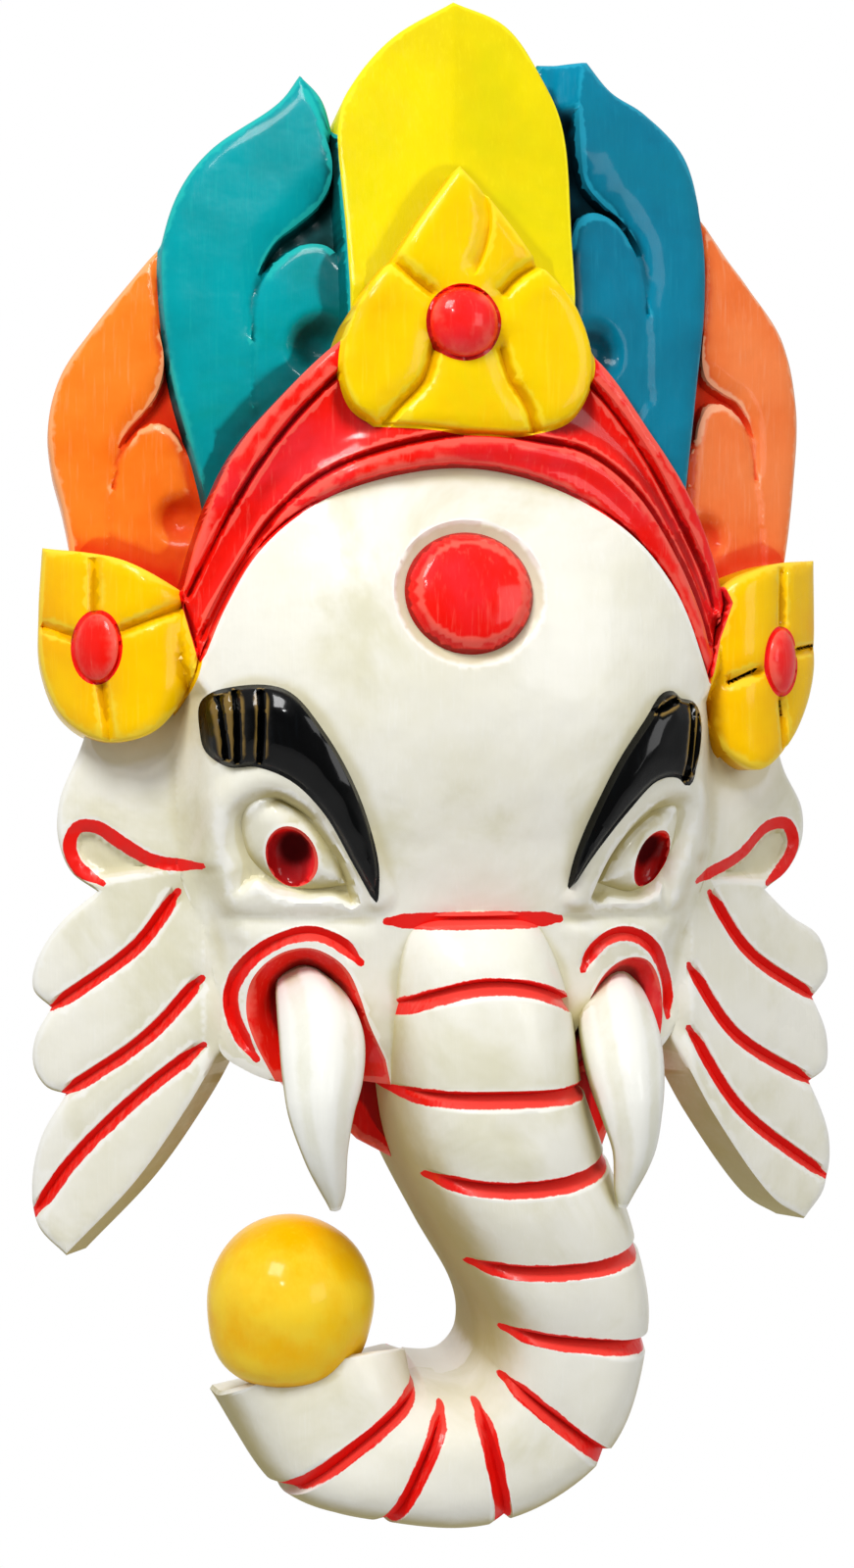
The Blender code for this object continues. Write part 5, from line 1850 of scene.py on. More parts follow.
def crown_leaves() -> tuple[SideLeaf, ...]:
    """Set out the four side leaves of the crown, the low pair first.

    Returns:
        The leaves in the order they are carved.
    """
    low_pair = {
        "inner_edge": 80.0, "inner_depth": 31.0, "fall": 0.30, "channel_depth": 6.5,
        "blade_drop": 2.4, "blade_slopes": (8.0, 3.0), "bevel_depth": 4.0, "lobe_bevel": 3.6,
        "dish_radius": 9.5, "dish_depth": 4.0,
    }
    high_pair = {"inner_edge": 38.0, "inner_depth": 50.0, "fall": 0.33}
    orange = SideLeaf(
        points=(
            (-85, 173), (-90.5, 168), (-99, 158), (-111, 143), (-120.5, 129), (-124.5, 114), (-123.5, 100),
            (-120, 86), (-116, 66), (-80, 55), (-70, 90), (-80, 130),
        ),
        sharp=(0, 8, 9, 10),
        crest=(
            (-97, 178), (-94, 164.8), (-92.7, 152.9), (-91, 142.8), (-89.3, 134.4), (-89.6, 127.6),
            (-91.8, 121.5), (-95.7, 116.3), (-100.3, 111.1), (-103.1, 105.9), (-104.8, 99.9),
            (-105.3, 92.3),
        ),
        lobe=(
            (-104.7, 93), (-103.2, 98.5), (-101, 103.7), (-97.7, 108.6), (-94, 111.8), (-90.1, 112.3),
            (-85.9, 109), (-82.2, 101.4), (-80, 92.1), (-79.5, 80),
        ),
        hollow=(-86, 123), dish_centre=(-84, 83), paint=Paint.ORANGE, inner_side=1,
        **low_pair,
    )
    salmon = SideLeaf(
        points=(
            (84, 190), (97, 174), (104.5, 166), (118, 149.5), (124, 125.5), (123, 102), (119.5, 75.5),
            (117, 64), (84, 55), (74, 90), (80, 130),
        ),
        sharp=(0, 7, 8, 9),
        crest=(
            (89, 200), (88.6, 182.5), (88.3, 168.2), (87.1, 150.2), (86.4, 139.5), (88.6, 133.3),
            (94.3, 129.6), (100.8, 126.6), (105.2, 120.4), (107.4, 111.5), (108.4, 100.7),
        ),
        lobe=(
            (107.7, 101.6), (106.2, 110.6), (103.4, 117.3), (99.9, 122.3), (95.2, 124.8), (89.9, 124.6),
            (86.4, 119.8), (84, 109), (82.6, 96.5), (82.3, 82),
        ),
        hollow=(84, 129), dish_centre=(88, 81), paint=Paint.SALMON, inner_side=-1,
        **low_pair,
    )
    green_teal = SideLeaf(
        points=(
            (-48, 220), (-54, 212), (-75, 197.5), (-84, 186), (-89.5, 170), (-90, 152), (-86.5, 124.5),
            (-80, 100), (-76, 84), (-40, 84), (-30, 120), (-33, 180), (-38, 200), (-41.5, 213),
        ),
        sharp=(0, 8, 9, 10),
        crest=(
            (-53.5, 233), (-48.9, 218.6), (-44.6, 209.7), (-40.9, 199.8), (-39, 191.5), (-39.4, 184.8),
            (-42.9, 178.7), (-49.7, 172.8), (-55.6, 168), (-60.1, 160.3), (-62.6, 151.8), (-63.5, 144.3),
            (-63.3, 136.8),
        ),
        lobe=(
            (-62.8, 137.5), (-62.3, 145), (-60.2, 153), (-56.8, 159.4), (-51.5, 164.1), (-46.5, 166.4),
            (-40.6, 165.7), (-35.8, 160.4), (-32.9, 152.9), (-31.2, 145.4), (-30.5, 130),
        ),
        hollow=(-36.5, 180), dish_centre=(-43, 135.5), paint=Paint.GREEN_TEAL, inner_side=1,
        **high_pair,
    )
    blue_teal = SideLeaf(
        points=(
            (27, 227), (43.5, 229.5), (52, 221.5), (65, 216), (79.5, 204), (85.5, 182), (86.5, 159.5),
            (83, 127.5), (79, 94), (70, 80), (35, 84), (25, 120), (28, 200),
        ),
        sharp=(0, 1, 8, 10, 11),
        crest=(
            (45, 243), (42.1, 229.1), (40.3, 219), (39.9, 208.6), (40.8, 198.4), (43.5, 189.9),
            (48.9, 184.6), (55.2, 180.5), (60.6, 174.3), (63.6, 166.7), (64.7, 158), (65, 150),
        ),
        lobe=(
            (64.4, 151), (63.6, 159), (61.3, 167.2), (58, 173), (54.5, 177.3), (50.4, 180), (45, 180.9),
            (40, 178), (37.2, 172), (36.3, 164.3), (37, 151.4), (37.5, 135),
        ),
        hollow=(38.5, 193), dish_centre=(45, 137), paint=Paint.BLUE_TEAL, inner_side=-1,
        **high_pair,
    )
    return orange, salmon, green_teal, blue_teal


def side_flowers() -> tuple[SideFlower, SideFlower]:
    """Set out the flowers at the two ends of the headband."""
    left = SideFlower(
        points=(
            (-126.5, 73), (-127.5, 54), (-127, 36.5), (-120.5, 20.5), (-108.5, 13), (-94, 15.5), (-83, 29),
            (-79, 45), (-84, 58), (-104.5, 68.5),
        ),
        sharp=(0, 7, 8),
        cuts=(
            ((-127, 49), (-117, 45)),
            ((-104, 46), (-84, 54)),
            ((-109, 31), (-106.5, 12.5)),
            ((-111, 69), (-111, 52)),
        ),
        cracks=(),
        bead_centre=(-110.5, 41.5),
    )
    right = SideFlower(
        points=(
            (82, 50), (86, 62), (102, 70), (124.5, 74), (125, 54), (124.5, 35.5), (118.5, 21),
            (108.5, 9.5), (98, 4.5), (88, 10), (83, 20), (81, 34),
        ),
        sharp=(0, 3),
        cuts=(
            ((87, 32.5), (100, 36.5)),
            ((114, 43), (124.5, 45)),
            ((107.5, 28.5), (110, 11)),
            ((108.5, 70), (108, 50.5)),
        ),
        cracks=(((88, 32), (98, 37)), ((115, 44), (125, 46)), ((107.5, 27), (108.5, 22))),
        bead_centre=(107.5, 39.5),
    )
    return left, right


def whole_face() -> Face:
    """Set out the face with its eyes, brows and cheeks."""
    left_eye = Eye(
        socket=(
            (-32.8, -36.5), (-36, -27), (-41.5, -17.5), (-47, -9.8), (-53, -4.8), (-60.5, -1.6),
            (-67.5, -3), (-73, -8), (-74.2, -17), (-72.8, -26), (-71.5, -34.5), (-63, -36.2),
            (-52.6, -40.2), (-40, -39.6),
        ),
        eyeball=(
            (-36.2, -30.5), (-42.6, -17.4), (-48, -10.6), (-53.4, -6.6), (-60.4, -4), (-65.6, -5.8),
            (-67.9, -10), (-67.3, -15.9), (-65.2, -21.9), (-60.4, -27.1), (-54.3, -30.6), (-47, -31.8),
        ),
        pouch=(
            (-69.6, -36), (-63.5, -28.5), (-57, -31.8), (-49, -33.2), (-41, -32.6), (-33, -36), (-32, -45),
            (-45, -46), (-58, -45), (-68, -44),
        ),
        lid=((-78, -22), (-73.5, -4.5), (-61, 2.2), (-46, -4), (-34.5, -17.5), (-27.5, -34)),
        pupil_centre=(-53.5, -21.8), pupil_radii=(7.2, 9.6), pupil_tilt=24.0,
        shade_centre=(-51.6, -18.6), slope_from=56.0,
    )
    right_eye = Eye(
        socket=(
            (38.2, -35.5), (41.5, -27), (45, -20.5), (50.2, -13.6), (56, -8.2), (62.9, -4), (69.8, -2.8),
            (74, -6.2), (75, -13), (73.6, -20), (71, -28), (66.5, -41), (56, -41.4), (44, -39),
        ),
        eyeball=(
            (42.2, -30.5), (46.3, -21.8), (51, -15.6), (56.3, -10.8), (62.4, -7.4), (67.2, -6.8),
            (69, -9.4), (68.4, -15.6), (66.8, -21.5), (62.6, -29), (54.5, -33.4), (47.5, -32.2),
        ),
        pouch=(
            (39.5, -36.4), (45.5, -34), (54, -35), (59.5, -33.4), (64.2, -29.6), (66.2, -38), (66, -46),
            (58, -46.5), (48, -46), (40, -45),
        ),
        lid=((80, -20), (77.6, -4), (65.5, 0.8), (50, -7.5), (39.5, -22), (34.5, -35)),
        pupil_centre=(59.8, -23.2), pupil_radii=(6.0, 9.4), pupil_tilt=-26.0,
        shade_centre=(59.2, -20.0), slope_from=58.0,
    )
    left_brow = Brow(
        points=(
            (-79, 16), (-78.5, 25), (-70.5, 28), (-57, 27), (-46, 14.5), (-35.5, -4.5), (-29.5, -23.5),
            (-29, -34), (-35, -23.5), (-44, -8.5), (-54, 1.5), (-64.5, 6), (-72, 6), (-77.5, 10),
        ),
        sharp=(7,),
        flutes=(
            ((-75.5, 26.5), (-73, 7)), ((-71, 28), (-70, 6)), ((-63.7, 28), (-63.7, 6)),
        ),
    )
    right_brow = Brow(
        points=(
            (74.6, 20), (72, 24.5), (66.5, 25.6), (63.5, 27.6), (60, 26.8), (54.5, 19.5), (45.5, 6.6),
            (38.2, -8.3), (33.2, -22.2), (31.6, -30.5), (36.9, -21.8), (47.3, -8.3), (56.5, 1), (62, 3),
            (66.4, 2.6), (70, 0.4), (73.4, 6.5),
        ),
        sharp=(9,),
        flutes=(((70.6, 25), (68.6, 1)), ((73.6, 22), (71.6, 3)), ((65, 26), (56, 21.5))),
    )
    left_cheek = Cheek(
        curl=(
            (-32.3, -54), (-38.5, -48.2), (-46.4, -45.1), (-54.2, -46.3), (-62.9, -51.3), (-68.1, -58.2),
            (-70, -65), (-68.9, -71.9), (-66.4, -78), (-62.5, -84),
        ),
        mouth=(
            (-24, -84), (-29.5, -72.5), (-32.1, -65), (-35.7, -57.1), (-40.1, -52.6), (-47.1, -49.5),
            (-54.1, -50.3), (-60.2, -54.1), (-64.5, -60), (-65.6, -69), (-63.6, -77.3), (-54, -96),
            (-20, -100),
        ),
        mouth_sharp=(0, 11, 12),
        jaw=((-58, -80), (-52, -95), (-40, -101), (-29, -112), (-18, -118), (-12, -80)),
    )
    right_cheek = Cheek(
        curl=(
            (37.3, -57.3), (40.1, -52), (44.7, -48), (50.2, -46.4), (56.7, -47.8), (62.3, -52),
            (66, -57.7), (68.6, -63.5), (69.4, -74),
        ),
        mouth=(
            (32, -84), (36.8, -74), (40.6, -65.4), (44.3, -59.4), (48.9, -55.6), (54.5, -54),
            (60.1, -55.4), (64.2, -60.8), (66.6, -67.8), (67.1, -75), (64, -92), (30, -100),
        ),
        mouth_sharp=(0, 10, 11),
        jaw=((28, -80), (36, -120), (50, -120), (56, -103), (62, -90), (62, -80)),
    )
    return Face(
        (left_eye, right_eye), (left_brow, right_brow), (left_cheek, right_cheek)
    )


def both_ears() -> tuple[Ear, Ear]:
    """Set out the two ears."""
    left = Ear(
        name="ear_left",
        points=(
            (-70, 12), (-70, -80), (-74, -84), (-83, -100.5), (-97.5, -123), (-119, -148),
            (-127.5, -139.5), (-129.5, -126.5), (-126.5, -111), (-119, -97.5), (-125, -95.5), (-129, -89),
            (-128.5, -80), (-123.5, -70.5), (-129, -65), (-128.5, -57), (-121.5, -44.5), (-109.5, -33.5),
            (-117.5, -27.5), (-121.5, -17), (-121, -5), (-114, 13), (-110, 30), (-84, 30),
        ),
        sharp=(0, 1, 2, 5, 9, 13, 17, 22, 23),
        cuts=(
            ((-85.5, -33), (-97.5, -50), (-123.5, -70.5)),
            ((-78.5, -59.5), (-95, -78.5), (-119.5, -97)),
            ((-78, -80), (-97.5, -97), (-117, -118), (-129, -136)),
        ),
        curl=(
            (-79, -25), (-92, -24), (-102, -18.5), (-109.5, -13.5), (-115.5, -13.5), (-118, -19),
            (-115.5, -26), (-108, -31),
        ),
    )
    right = Ear(
        name="ear_right",
        points=(
            (70, 12), (70, -80), (74, -87), (87.5, -108), (113, -138.5), (127, -147), (137, -137),
            (138.5, -120.5), (130, -101), (137, -96.5), (137.5, -86), (131.5, -72.5), (138, -64),
            (134, -52), (121.5, -44.5), (109.5, -35), (120, -28.5), (126, -19), (126, -8), (117.5, 6),
            (112, 24), (86, 24),
        ),
        sharp=(0, 1, 2, 5, 8, 11, 15, 20, 21),
        cuts=(
            ((85.5, -35), (102, -55), (131.5, -72.5)),
            ((77, -58), (96, -81.5), (130, -101)),
            ((77, -78), (98, -106), (137, -134)),
        ),
        curl=(
            (79, -31), (98, -23.5), (110.5, -14), (119, -13.5), (122, -20), (117, -28), (110, -33),
        ),
    )
    return left, right


def both_tusks() -> tuple[Tusk, Tusk]:
    """Set out the two tusks by x, depth, z and half width."""
    left = Tusk(
        name="tusk_left",
        stations=(
            (-49, 34, -57, 4.5), (-47.5, 43, -63, 9), (-45.6, 54, -70, 12), (-44.8, 63.5, -77.5, 13.2),
            (-45.6, 71, -87, 12.5), (-46.6, 75.5, -96, 10.4), (-45.5, 77, -108, 7), (-42.5, 75, -121, 3.4),
            (-42, 74, -125.5, 1.6),
        ),
    )
    right = Tusk(
        name="tusk_right",
        stations=(
            (55, 34, -60, 4.5), (52, 43, -66, 9), (49.3, 54, -72.5, 12), (48, 63.5, -80, 13),
            (47.6, 71, -89, 12.2), (47.8, 75.5, -98, 10.2), (48.3, 77, -110, 7), (46.2, 75, -123, 3.4),
            (45.8, 74, -128, 1.6),
        ),
    )
    return left, right


def linear(code: str) -> tuple[float, float, float, float]:
    """Turn an sRGB hex colour into linear values."""
    parts = [int(code[k:k + 2], 16) / 255.0 for k in (1, 3, 5)]
    turned = [part / 12.92 if part <= 0.04045 else ((part + 0.055) / 1.055) ** 2.4 for part in parts]
    return (*turned, 1.0)


def add_node(
    tree: NodeTree, kind: str, settings: dict[str, object] | None = None,
    links: dict[int | str, object] | None = None,
) -> Node:
    """Add a node with its settings and links.

    Args:
        tree: The node tree.
        kind: Type of the node.
        settings: Node properties by name; an input by number or name is set by "in:" and its key.
        links: Output sockets by the input they feed.

    Returns:
        The node.
    """
    node = tree.nodes.new(kind)
    for key, value in (settings or {}).items():
        if key.startswith("in:"):
            place = key[3:]
            node.inputs[int(place) if place.isdigit() else place].default_value = value
        else:
            setattr(node, key, value)
    for key, source in (links or {}).items():
        tree.links.new(source, node.inputs[key])
    return node


def new_material(name: str) -> tuple[Material, Node]:
    """Start a material and give it with its shader."""
    material = bpy.data.materials.new(name)
    material.use_nodes = True
    return material, material.node_tree.nodes["Principled BSDF"]


@dataclass
class Nodes:
    """The nodes of one tree; each method adds one and gives its output."""

    tree: NodeTree
    end: Node

    def feed(self, key: str, source: NodeSocket) -> None:
        """Feed an output to an input of the shader at the end."""
        self.tree.links.new(source, self.end.inputs[key])

    def add(
        self, kind: str, settings: dict[str, object], links: dict[int | str, NodeSocket],
        output: int | str = 0,
    ) -> NodeSocket:
        """Add a node and give one of its outputs."""
        return add_node(self.tree, kind, settings, links).outputs[output]

    def coordinate(self, kind: str) -> NodeSocket:
        """Give the coordinates of a kind."""
        return self.add("ShaderNodeTexCoord", {}, {}, kind)

    def attribute(self, name: str) -> NodeSocket:
        """Read an attribute of the mesh."""
        return self.add("ShaderNodeAttribute", {"attribute_name": name}, {}, "Fac")

    def facing(self, axis: str) -> NodeSocket:
        """Give one part of the direction the surface faces."""
        return self.add("ShaderNodeSeparateXYZ", {}, {0: self.coordinate("Normal")}, axis)

    def stretched(self, place: NodeSocket, scale: tuple[float, float, float]) -> NodeSocket:
        """Stretch the places that a pattern is drawn on."""
        return self.add("ShaderNodeMapping", {"in:Scale": scale}, {"Vector": place})

    def noise(
        self, place: NodeSocket, grain_mm: float, detail: float, roughness: float = 0.5,
        distortion: float = 0.0,
    ) -> NodeSocket:
        """Add a cloudy pattern.

        Args:
            place: Where it is read.
            grain_mm: Size of one cloud in millimetres.
            detail: How many finer layers it has.
            roughness: How strong the finer layers are.
            distortion: How far the clouds are drawn out.

        Returns:
            Values about 0.5.
        """
        settings = {
            "in:Scale": 1.0 / (grain_mm * MM), "in:Detail": detail, "in:Roughness": roughness,
            "in:Distortion": distortion,
        }
        return self.add("ShaderNodeTexNoise", settings, {"Vector": place}, "Fac")

    def fade(self, source: NodeSocket, start: float, end: float) -> NodeSocket:
        """Turn a value between start and end into 0 to 1, softly."""
        settings = {"interpolation_type": "SMOOTHSTEP", "in:From Min": start, "in:From Max": end}
        return self.add("ShaderNodeMapRange", settings, {"Value": source})

    def scaled(self, source: NodeSocket, share: float) -> NodeSocket:
        """Multiply a value by a share."""
        return self.add("ShaderNodeMath", {"operation": "MULTIPLY", "in:1": share}, {0: source})

    def product(self, one: NodeSocket, two: NodeSocket) -> NodeSocket:
        """Multiply two values."""
        return self.add("ShaderNodeMath", {"operation": "MULTIPLY"}, {0: one, 1: two})

    def summed(self, one: NodeSocket, two: NodeSocket, share: float) -> NodeSocket:
        """Add a share of the second value to the first."""
        settings = {"operation": "MULTIPLY_ADD", "in:1": share}
        return self.add("ShaderNodeMath", settings, {0: two, 2: one})

    def mix(self, share: NodeSocket, one: NodeSocket | str, two: NodeSocket | str) -> NodeSocket:
        """Mix two colours, each a socket or a hex code."""
        node = add_node(self.tree, "ShaderNodeMix", {"data_type": "RGBA"}, {0: share})
        for key, source in ((6, one), (7, two)):
            if isinstance(source, str):
                node.inputs[key].default_value = linear(source)
            else:
                self.tree.links.new(source, node.inputs[key])
        return node.outputs[2]

    def ramp(self, source: NodeSocket, stops: tuple[tuple[float, str], ...]) -> NodeSocket:
        """Turn a value into colours, each given with its place."""
        node = add_node(self.tree, "ShaderNodeValToRGB", {}, {0: source})
        elements = node.color_ramp.elements
        while len(elements) < len(stops):
            elements.new(0.5)
        for element, (place, code) in zip(elements, stops):
            element.position = place
            element.color = linear(code)
        return node.outputs[0]

    def bump(self, height: NodeSocket, strength: float, depth: float) -> NodeSocket:
        """Raise the surface by a pattern up to a depth in metres."""
        settings = {"in:Strength": strength, "in:Distance": depth}
        return self.add("ShaderNodeBump", settings, {"Height": height})


@dataclass(frozen=True)
class Enamel:
    """Oil enamel brushed on carved wood, glossy, with thinly brushed places, painted shade in hollows and
    on walls turned away, and raised edges painted lighter as worn paint with a painted highlight.

    Brush hairs leave ridges about 1 mm apart along the strokes.
    """

    name: str
    colour: str
    deep: str
    # Colour of thinly brushed paint, also the painted highlight on raised edges.
    thin_and_lit: str
    # Colour of the painted shade in hollows and sheltered places.
    recess_shade: str
    roughness: float = 0.3
    sheen: float = 0.06
    coat: float = 0.2
    coat_roughness: float = 0.1
    brush_mm: float = 1.2
    brush_stretch: tuple[float, float, float] = (1.0, 1.0, 0.07)
    brush_depth: float = 0.00012
    wave_mm: float = 7.69
    wave_depth: float = 0.0006
    crumb_mm: float = 6.25
    patch_mm: float = 35.7
    cloud_mm: float = 58.8
    recess_shade_amount: float = 0.75
    recess_shade_from: float = 0.42
    recess_shade_span: float = 0.42
    worn: str = ""
    wear_by_marks: bool = False
    streak_amount: float = 0.3
    smudge: str = ""
    line_colour: str = ""
    # Paler red painted as light where a line faces up.
    line_lit: str = "#F2564A"
    # Colour of the painted shade on walls that face sideways or down.
    painted_side_shade: str = ""

    def build(self) -> Material:
        """Build the material.

        Returns:
            The painted material.
        """
        material, shader = new_material(self.name)
        nodes = Nodes(material.node_tree, shader)
        place = nodes.coordinate("Object")
        hairs = nodes.noise(nodes.stretched(place, self.brush_stretch), self.brush_mm, 3.0, 0.6)
        patches = nodes.noise(place, self.patch_mm, 4.0, 0.55)
        crumbs = nodes.noise(place, self.crumb_mm, 5.0, 0.65)
        # The coat of paint: deeper in patches, thin where hairs dragged, smudged in clouds.
        colour = nodes.mix(nodes.fade(patches, 0.35, 0.75), self.colour, self.deep)
        streak = nodes.scaled(nodes.fade(hairs, 0.52, 0.8), self.streak_amount)
        colour = nodes.mix(streak, colour, self.thin_and_lit)
        if self.smudge:
            clouds = nodes.noise(place, self.cloud_mm, 5.0, 0.6, 0.6)
            colour = nodes.mix(
                nodes.scaled(nodes.fade(clouds, 0.46, 0.7), 0.85), colour, self.smudge
            )
        # Walls that face sideways or down get an olive painted shade.
        if self.painted_side_shade:
            turned = nodes.summed(nodes.facing("Y"), nodes.facing("Z"), -0.6)
            side = nodes.fade(nodes.summed(turned, crumbs, 0.2), -0.5, 0.1)
            colour = nodes.mix(nodes.scaled(side, 0.8), colour, self.painted_side_shade)
        # Painted shade darkens sheltered places and creases, and dulls the gloss there.
        closed = nodes.summed(nodes.attribute("shelter"), patches, 0.35)
        closed = nodes.summed(closed, crumbs, 0.12)
        recess_shade_share = nodes.fade(closed, self.recess_shade_from, self.recess_shade_from + self.recess_shade_span)
        gloss = nodes.fade(recess_shade_share, 1.0, 0.0)
        recess_shade_share = nodes.scaled(recess_shade_share, self.recess_shade_amount)
        colour = nodes.mix(recess_shade_share, colour, self.recess_shade)
        crease = nodes.fade(nodes.summed(nodes.attribute("hollow"), crumbs, -0.2), -0.3, -1.1)
        colour = nodes.mix(nodes.scaled(crease, self.recess_shade_amount * 0.6), colour, self.recess_shade)
        # Raised edges are rubbed down and painted lighter: worn paint with a painted highlight.
        bare = nodes.fade(nodes.summed(nodes.attribute("wear_and_highlight"), crumbs, 0.22), 0.22, 0.42)
        reach = nodes.attribute("red_line")
        if self.wear_by_marks:
            near = nodes.fade(nodes.summed(reach, patches, 1.6), 1.9, 1.5)
            bare = nodes.product(bare, near)
        bare = nodes.scaled(bare, 0.75)
        if self.painted_side_shade:
            front = nodes.fade(side, 1.0, 0.2)
            bare = nodes.product(bare, front)
            gloss = nodes.product(gloss, front)
        colour = nodes.mix(bare, colour, self.worn or self.thin_and_lit)
        # Lines are painted by hand with ragged edges, and painted paler where they face up, as painted
        # light.
        if self.line_colour:
            edge = nodes.summed(nodes.summed(reach, crumbs, 0.45), hairs, 0.2)
            pale = nodes.fade(nodes.summed(nodes.facing("Z"), hairs, 1.1), 0.8, 1.2)
            red = nodes.mix(nodes.scaled(pale, 0.6), self.line_colour, self.line_lit)
            colour = nodes.mix(nodes.fade(edge, 1.38, 1.26), colour, red)
        nodes.feed("Base Color", colour)
        settings = {
            "in:From Min": 0.3, "in:From Max": 0.7, "in:To Min": self.roughness * 0.8,
            "in:To Max": self.roughness * 1.35,
        }
        rough = nodes.add("ShaderNodeMapRange", settings, {"Value": patches})
        rough = nodes.summed(rough, recess_shade_share, 0.4)
        if self.painted_side_shade:
            rough = nodes.summed(rough, side, 0.5)
        nodes.feed("Roughness", rough)
        nodes.feed("Coat Weight", nodes.scaled(gloss, self.coat))
        shader.inputs["Specular IOR Level"].default_value = self.sheen
        shader.inputs["Coat Roughness"].default_value = self.coat_roughness
        ridges = nodes.bump(hairs, 0.6, self.brush_depth)
        waves = nodes.bump(nodes.noise(place, self.wave_mm, 2.0), 0.5, self.wave_depth)
        nodes.tree.links.new(ridges, waves.node.inputs["Normal"])
        nodes.feed("Normal", waves)
        return material


@dataclass(frozen=True)
class RawWood:
    """Unpainted softwood, sawn and gouged, darkened with age.

    Growth rings run up the board about 4 mm apart.
    """

    name: str = "raw_softwood"
    light: str = "#B98F5A"
    dark: str = "#7A5630"
    fresh: str = "#CDA672"
    ring_mm: float = 4.167
    ring_stretch: tuple[float, float, float] = (1.0, 1.0, 0.06)
    ring_depth: float = 0.0004
    roughness: float = 0.75

    def build(self) -> Material:
        """Build the material.

        Returns:
            The bare wood.
        """
        material, shader = new_material(self.name)
        nodes = Nodes(material.node_tree, shader)
        grain = nodes.stretched(nodes.coordinate("Object"), self.ring_stretch)
        rings = nodes.noise(grain, self.ring_mm, 6.0, 0.6, 0.4)
        nodes.feed(
            "Base Color", nodes.ramp(rings, ((0.3, self.dark), (0.55, self.light), (0.8, self.fresh)))
        )
        shader.inputs["Roughness"].default_value = self.roughness
        nodes.feed("Normal", nodes.bump(rings, 0.5, self.ring_depth))
        return material


def paint_box() -> list[Material]:
    """Mix every finish in the order of the paint slots.

    Returns:
        One material for each slot; ears and trunk share the ivory of the head.
    """
    leaf = {"recess_shade_from": 0.28, "streak_amount": 0.2}
    # Ivory: warm, a little chalky white, greenish painted shade at the sides and in hollows, red
    # hand-painted lines.
    ivory = Enamel(
        "ivory_enamel", "#F6F4E8", "#EFECD9", "#FCFBF4", "#CEC38E", roughness=0.34, sheen=0.2,
        coat=0.25, smudge="#E0DCBE", line_colour="#F2160C", painted_side_shade="#B5A562", recess_shade_amount=0.8,
        recess_shade_from=0.38,
    ).build()
    # Lemon: cold greenish yellow, the lightest colour of the crown.
    lemon = Enamel(
        "lemon_enamel", "#E6D200", "#DAC400", "#F2E41E", "#B8A400", smudge="#D4CA00",
    ).build()
    # Golden: full warm yellow of the flower.
    golden = Enamel(
        "golden_enamel", "#F8D202", "#F8C200", "#FFE430", "#D09000", smudge="#EAD400",
    ).build()
    # Amber: yellow leaning to orange, on the side flowers and the ball.
    amber = Enamel("amber_enamel", "#FFCA00", "#FAB400", "#FFDC3A", "#C08000").build()
    # Green teal: strong sea green, with nearly black painted shade where the cuts are deep.
    green_teal = Enamel(
        "green_teal_enamel", "#009CA4", "#008C92", "#22B8B2", "#011C18", recess_shade_amount=0.95,
        smudge="#03928A", **leaf,
    ).build()
    # Blue teal: the same paint, bluer and a little darker.
    blue_teal = Enamel(
        "blue_teal_enamel", "#0082A2", "#00708E", "#22A0BE", "#01181F", recess_shade_amount=0.95,
        smudge="#027A94", **leaf,
    ).build()
    # Orange: hot orange, with red painted shade in its hollows, and pale on its ridges as worn paint with
    # a painted highlight.
    orange = Enamel(
        "orange_enamel", "#FB8426", "#F4700E", "#FFB47A", "#D01A04", recess_shade_from=0.28,
        recess_shade_amount=0.9, streak_amount=0.25,
    ).build()
    # Salmon: the same orange, pinker and softer.
    salmon = Enamel(
        "salmon_enamel", "#F98648", "#F47432", "#FFBC94", "#D82408", recess_shade_from=0.28,
        recess_shade_amount=0.9, streak_amount=0.25,
    ).build()
    # Red: glossy signal red with pink brush streaks, with painted shade only deep inside.
    red = Enamel(
        "red_enamel", "#FC1A0C", "#F00E08", "#FF6A5A", "#3A0002", coat=0.35, recess_shade_from=0.74,
        recess_shade_amount=0.95, streak_amount=0.4, smudge="#F2303A",
    ).build()
    # Black: wet-looking black, rubbed through to brown wood beside the cuts.
    black = Enamel(
        "black_enamel", "#040505", "#020203", "#141B20", "#000000", coat=0.45, sheen=0.03,
        worn="#8E7238", wear_by_marks=True, streak_amount=0.2,
    ).build()
    # Tusk: the cleanest white, with olive painted shade at its sides.
    tusk = Enamel(
        "tusk_enamel", "#F2F2E9", "#EAEADC", "#F8F8F2", "#B8AE74", roughness=0.34,
        sheen=0.2, painted_side_shade="#A89A5C", recess_shade_amount=0.6, smudge="#E2E0CA",
    ).build()
    # Bare wood: dull brown board with fine upright grain.
    wood = RawWood().build()
    return [
        ivory, lemon, golden, amber, green_teal, blue_teal, orange, salmon, red, black, wood,
        ivory, ivory, tusk,
    ]


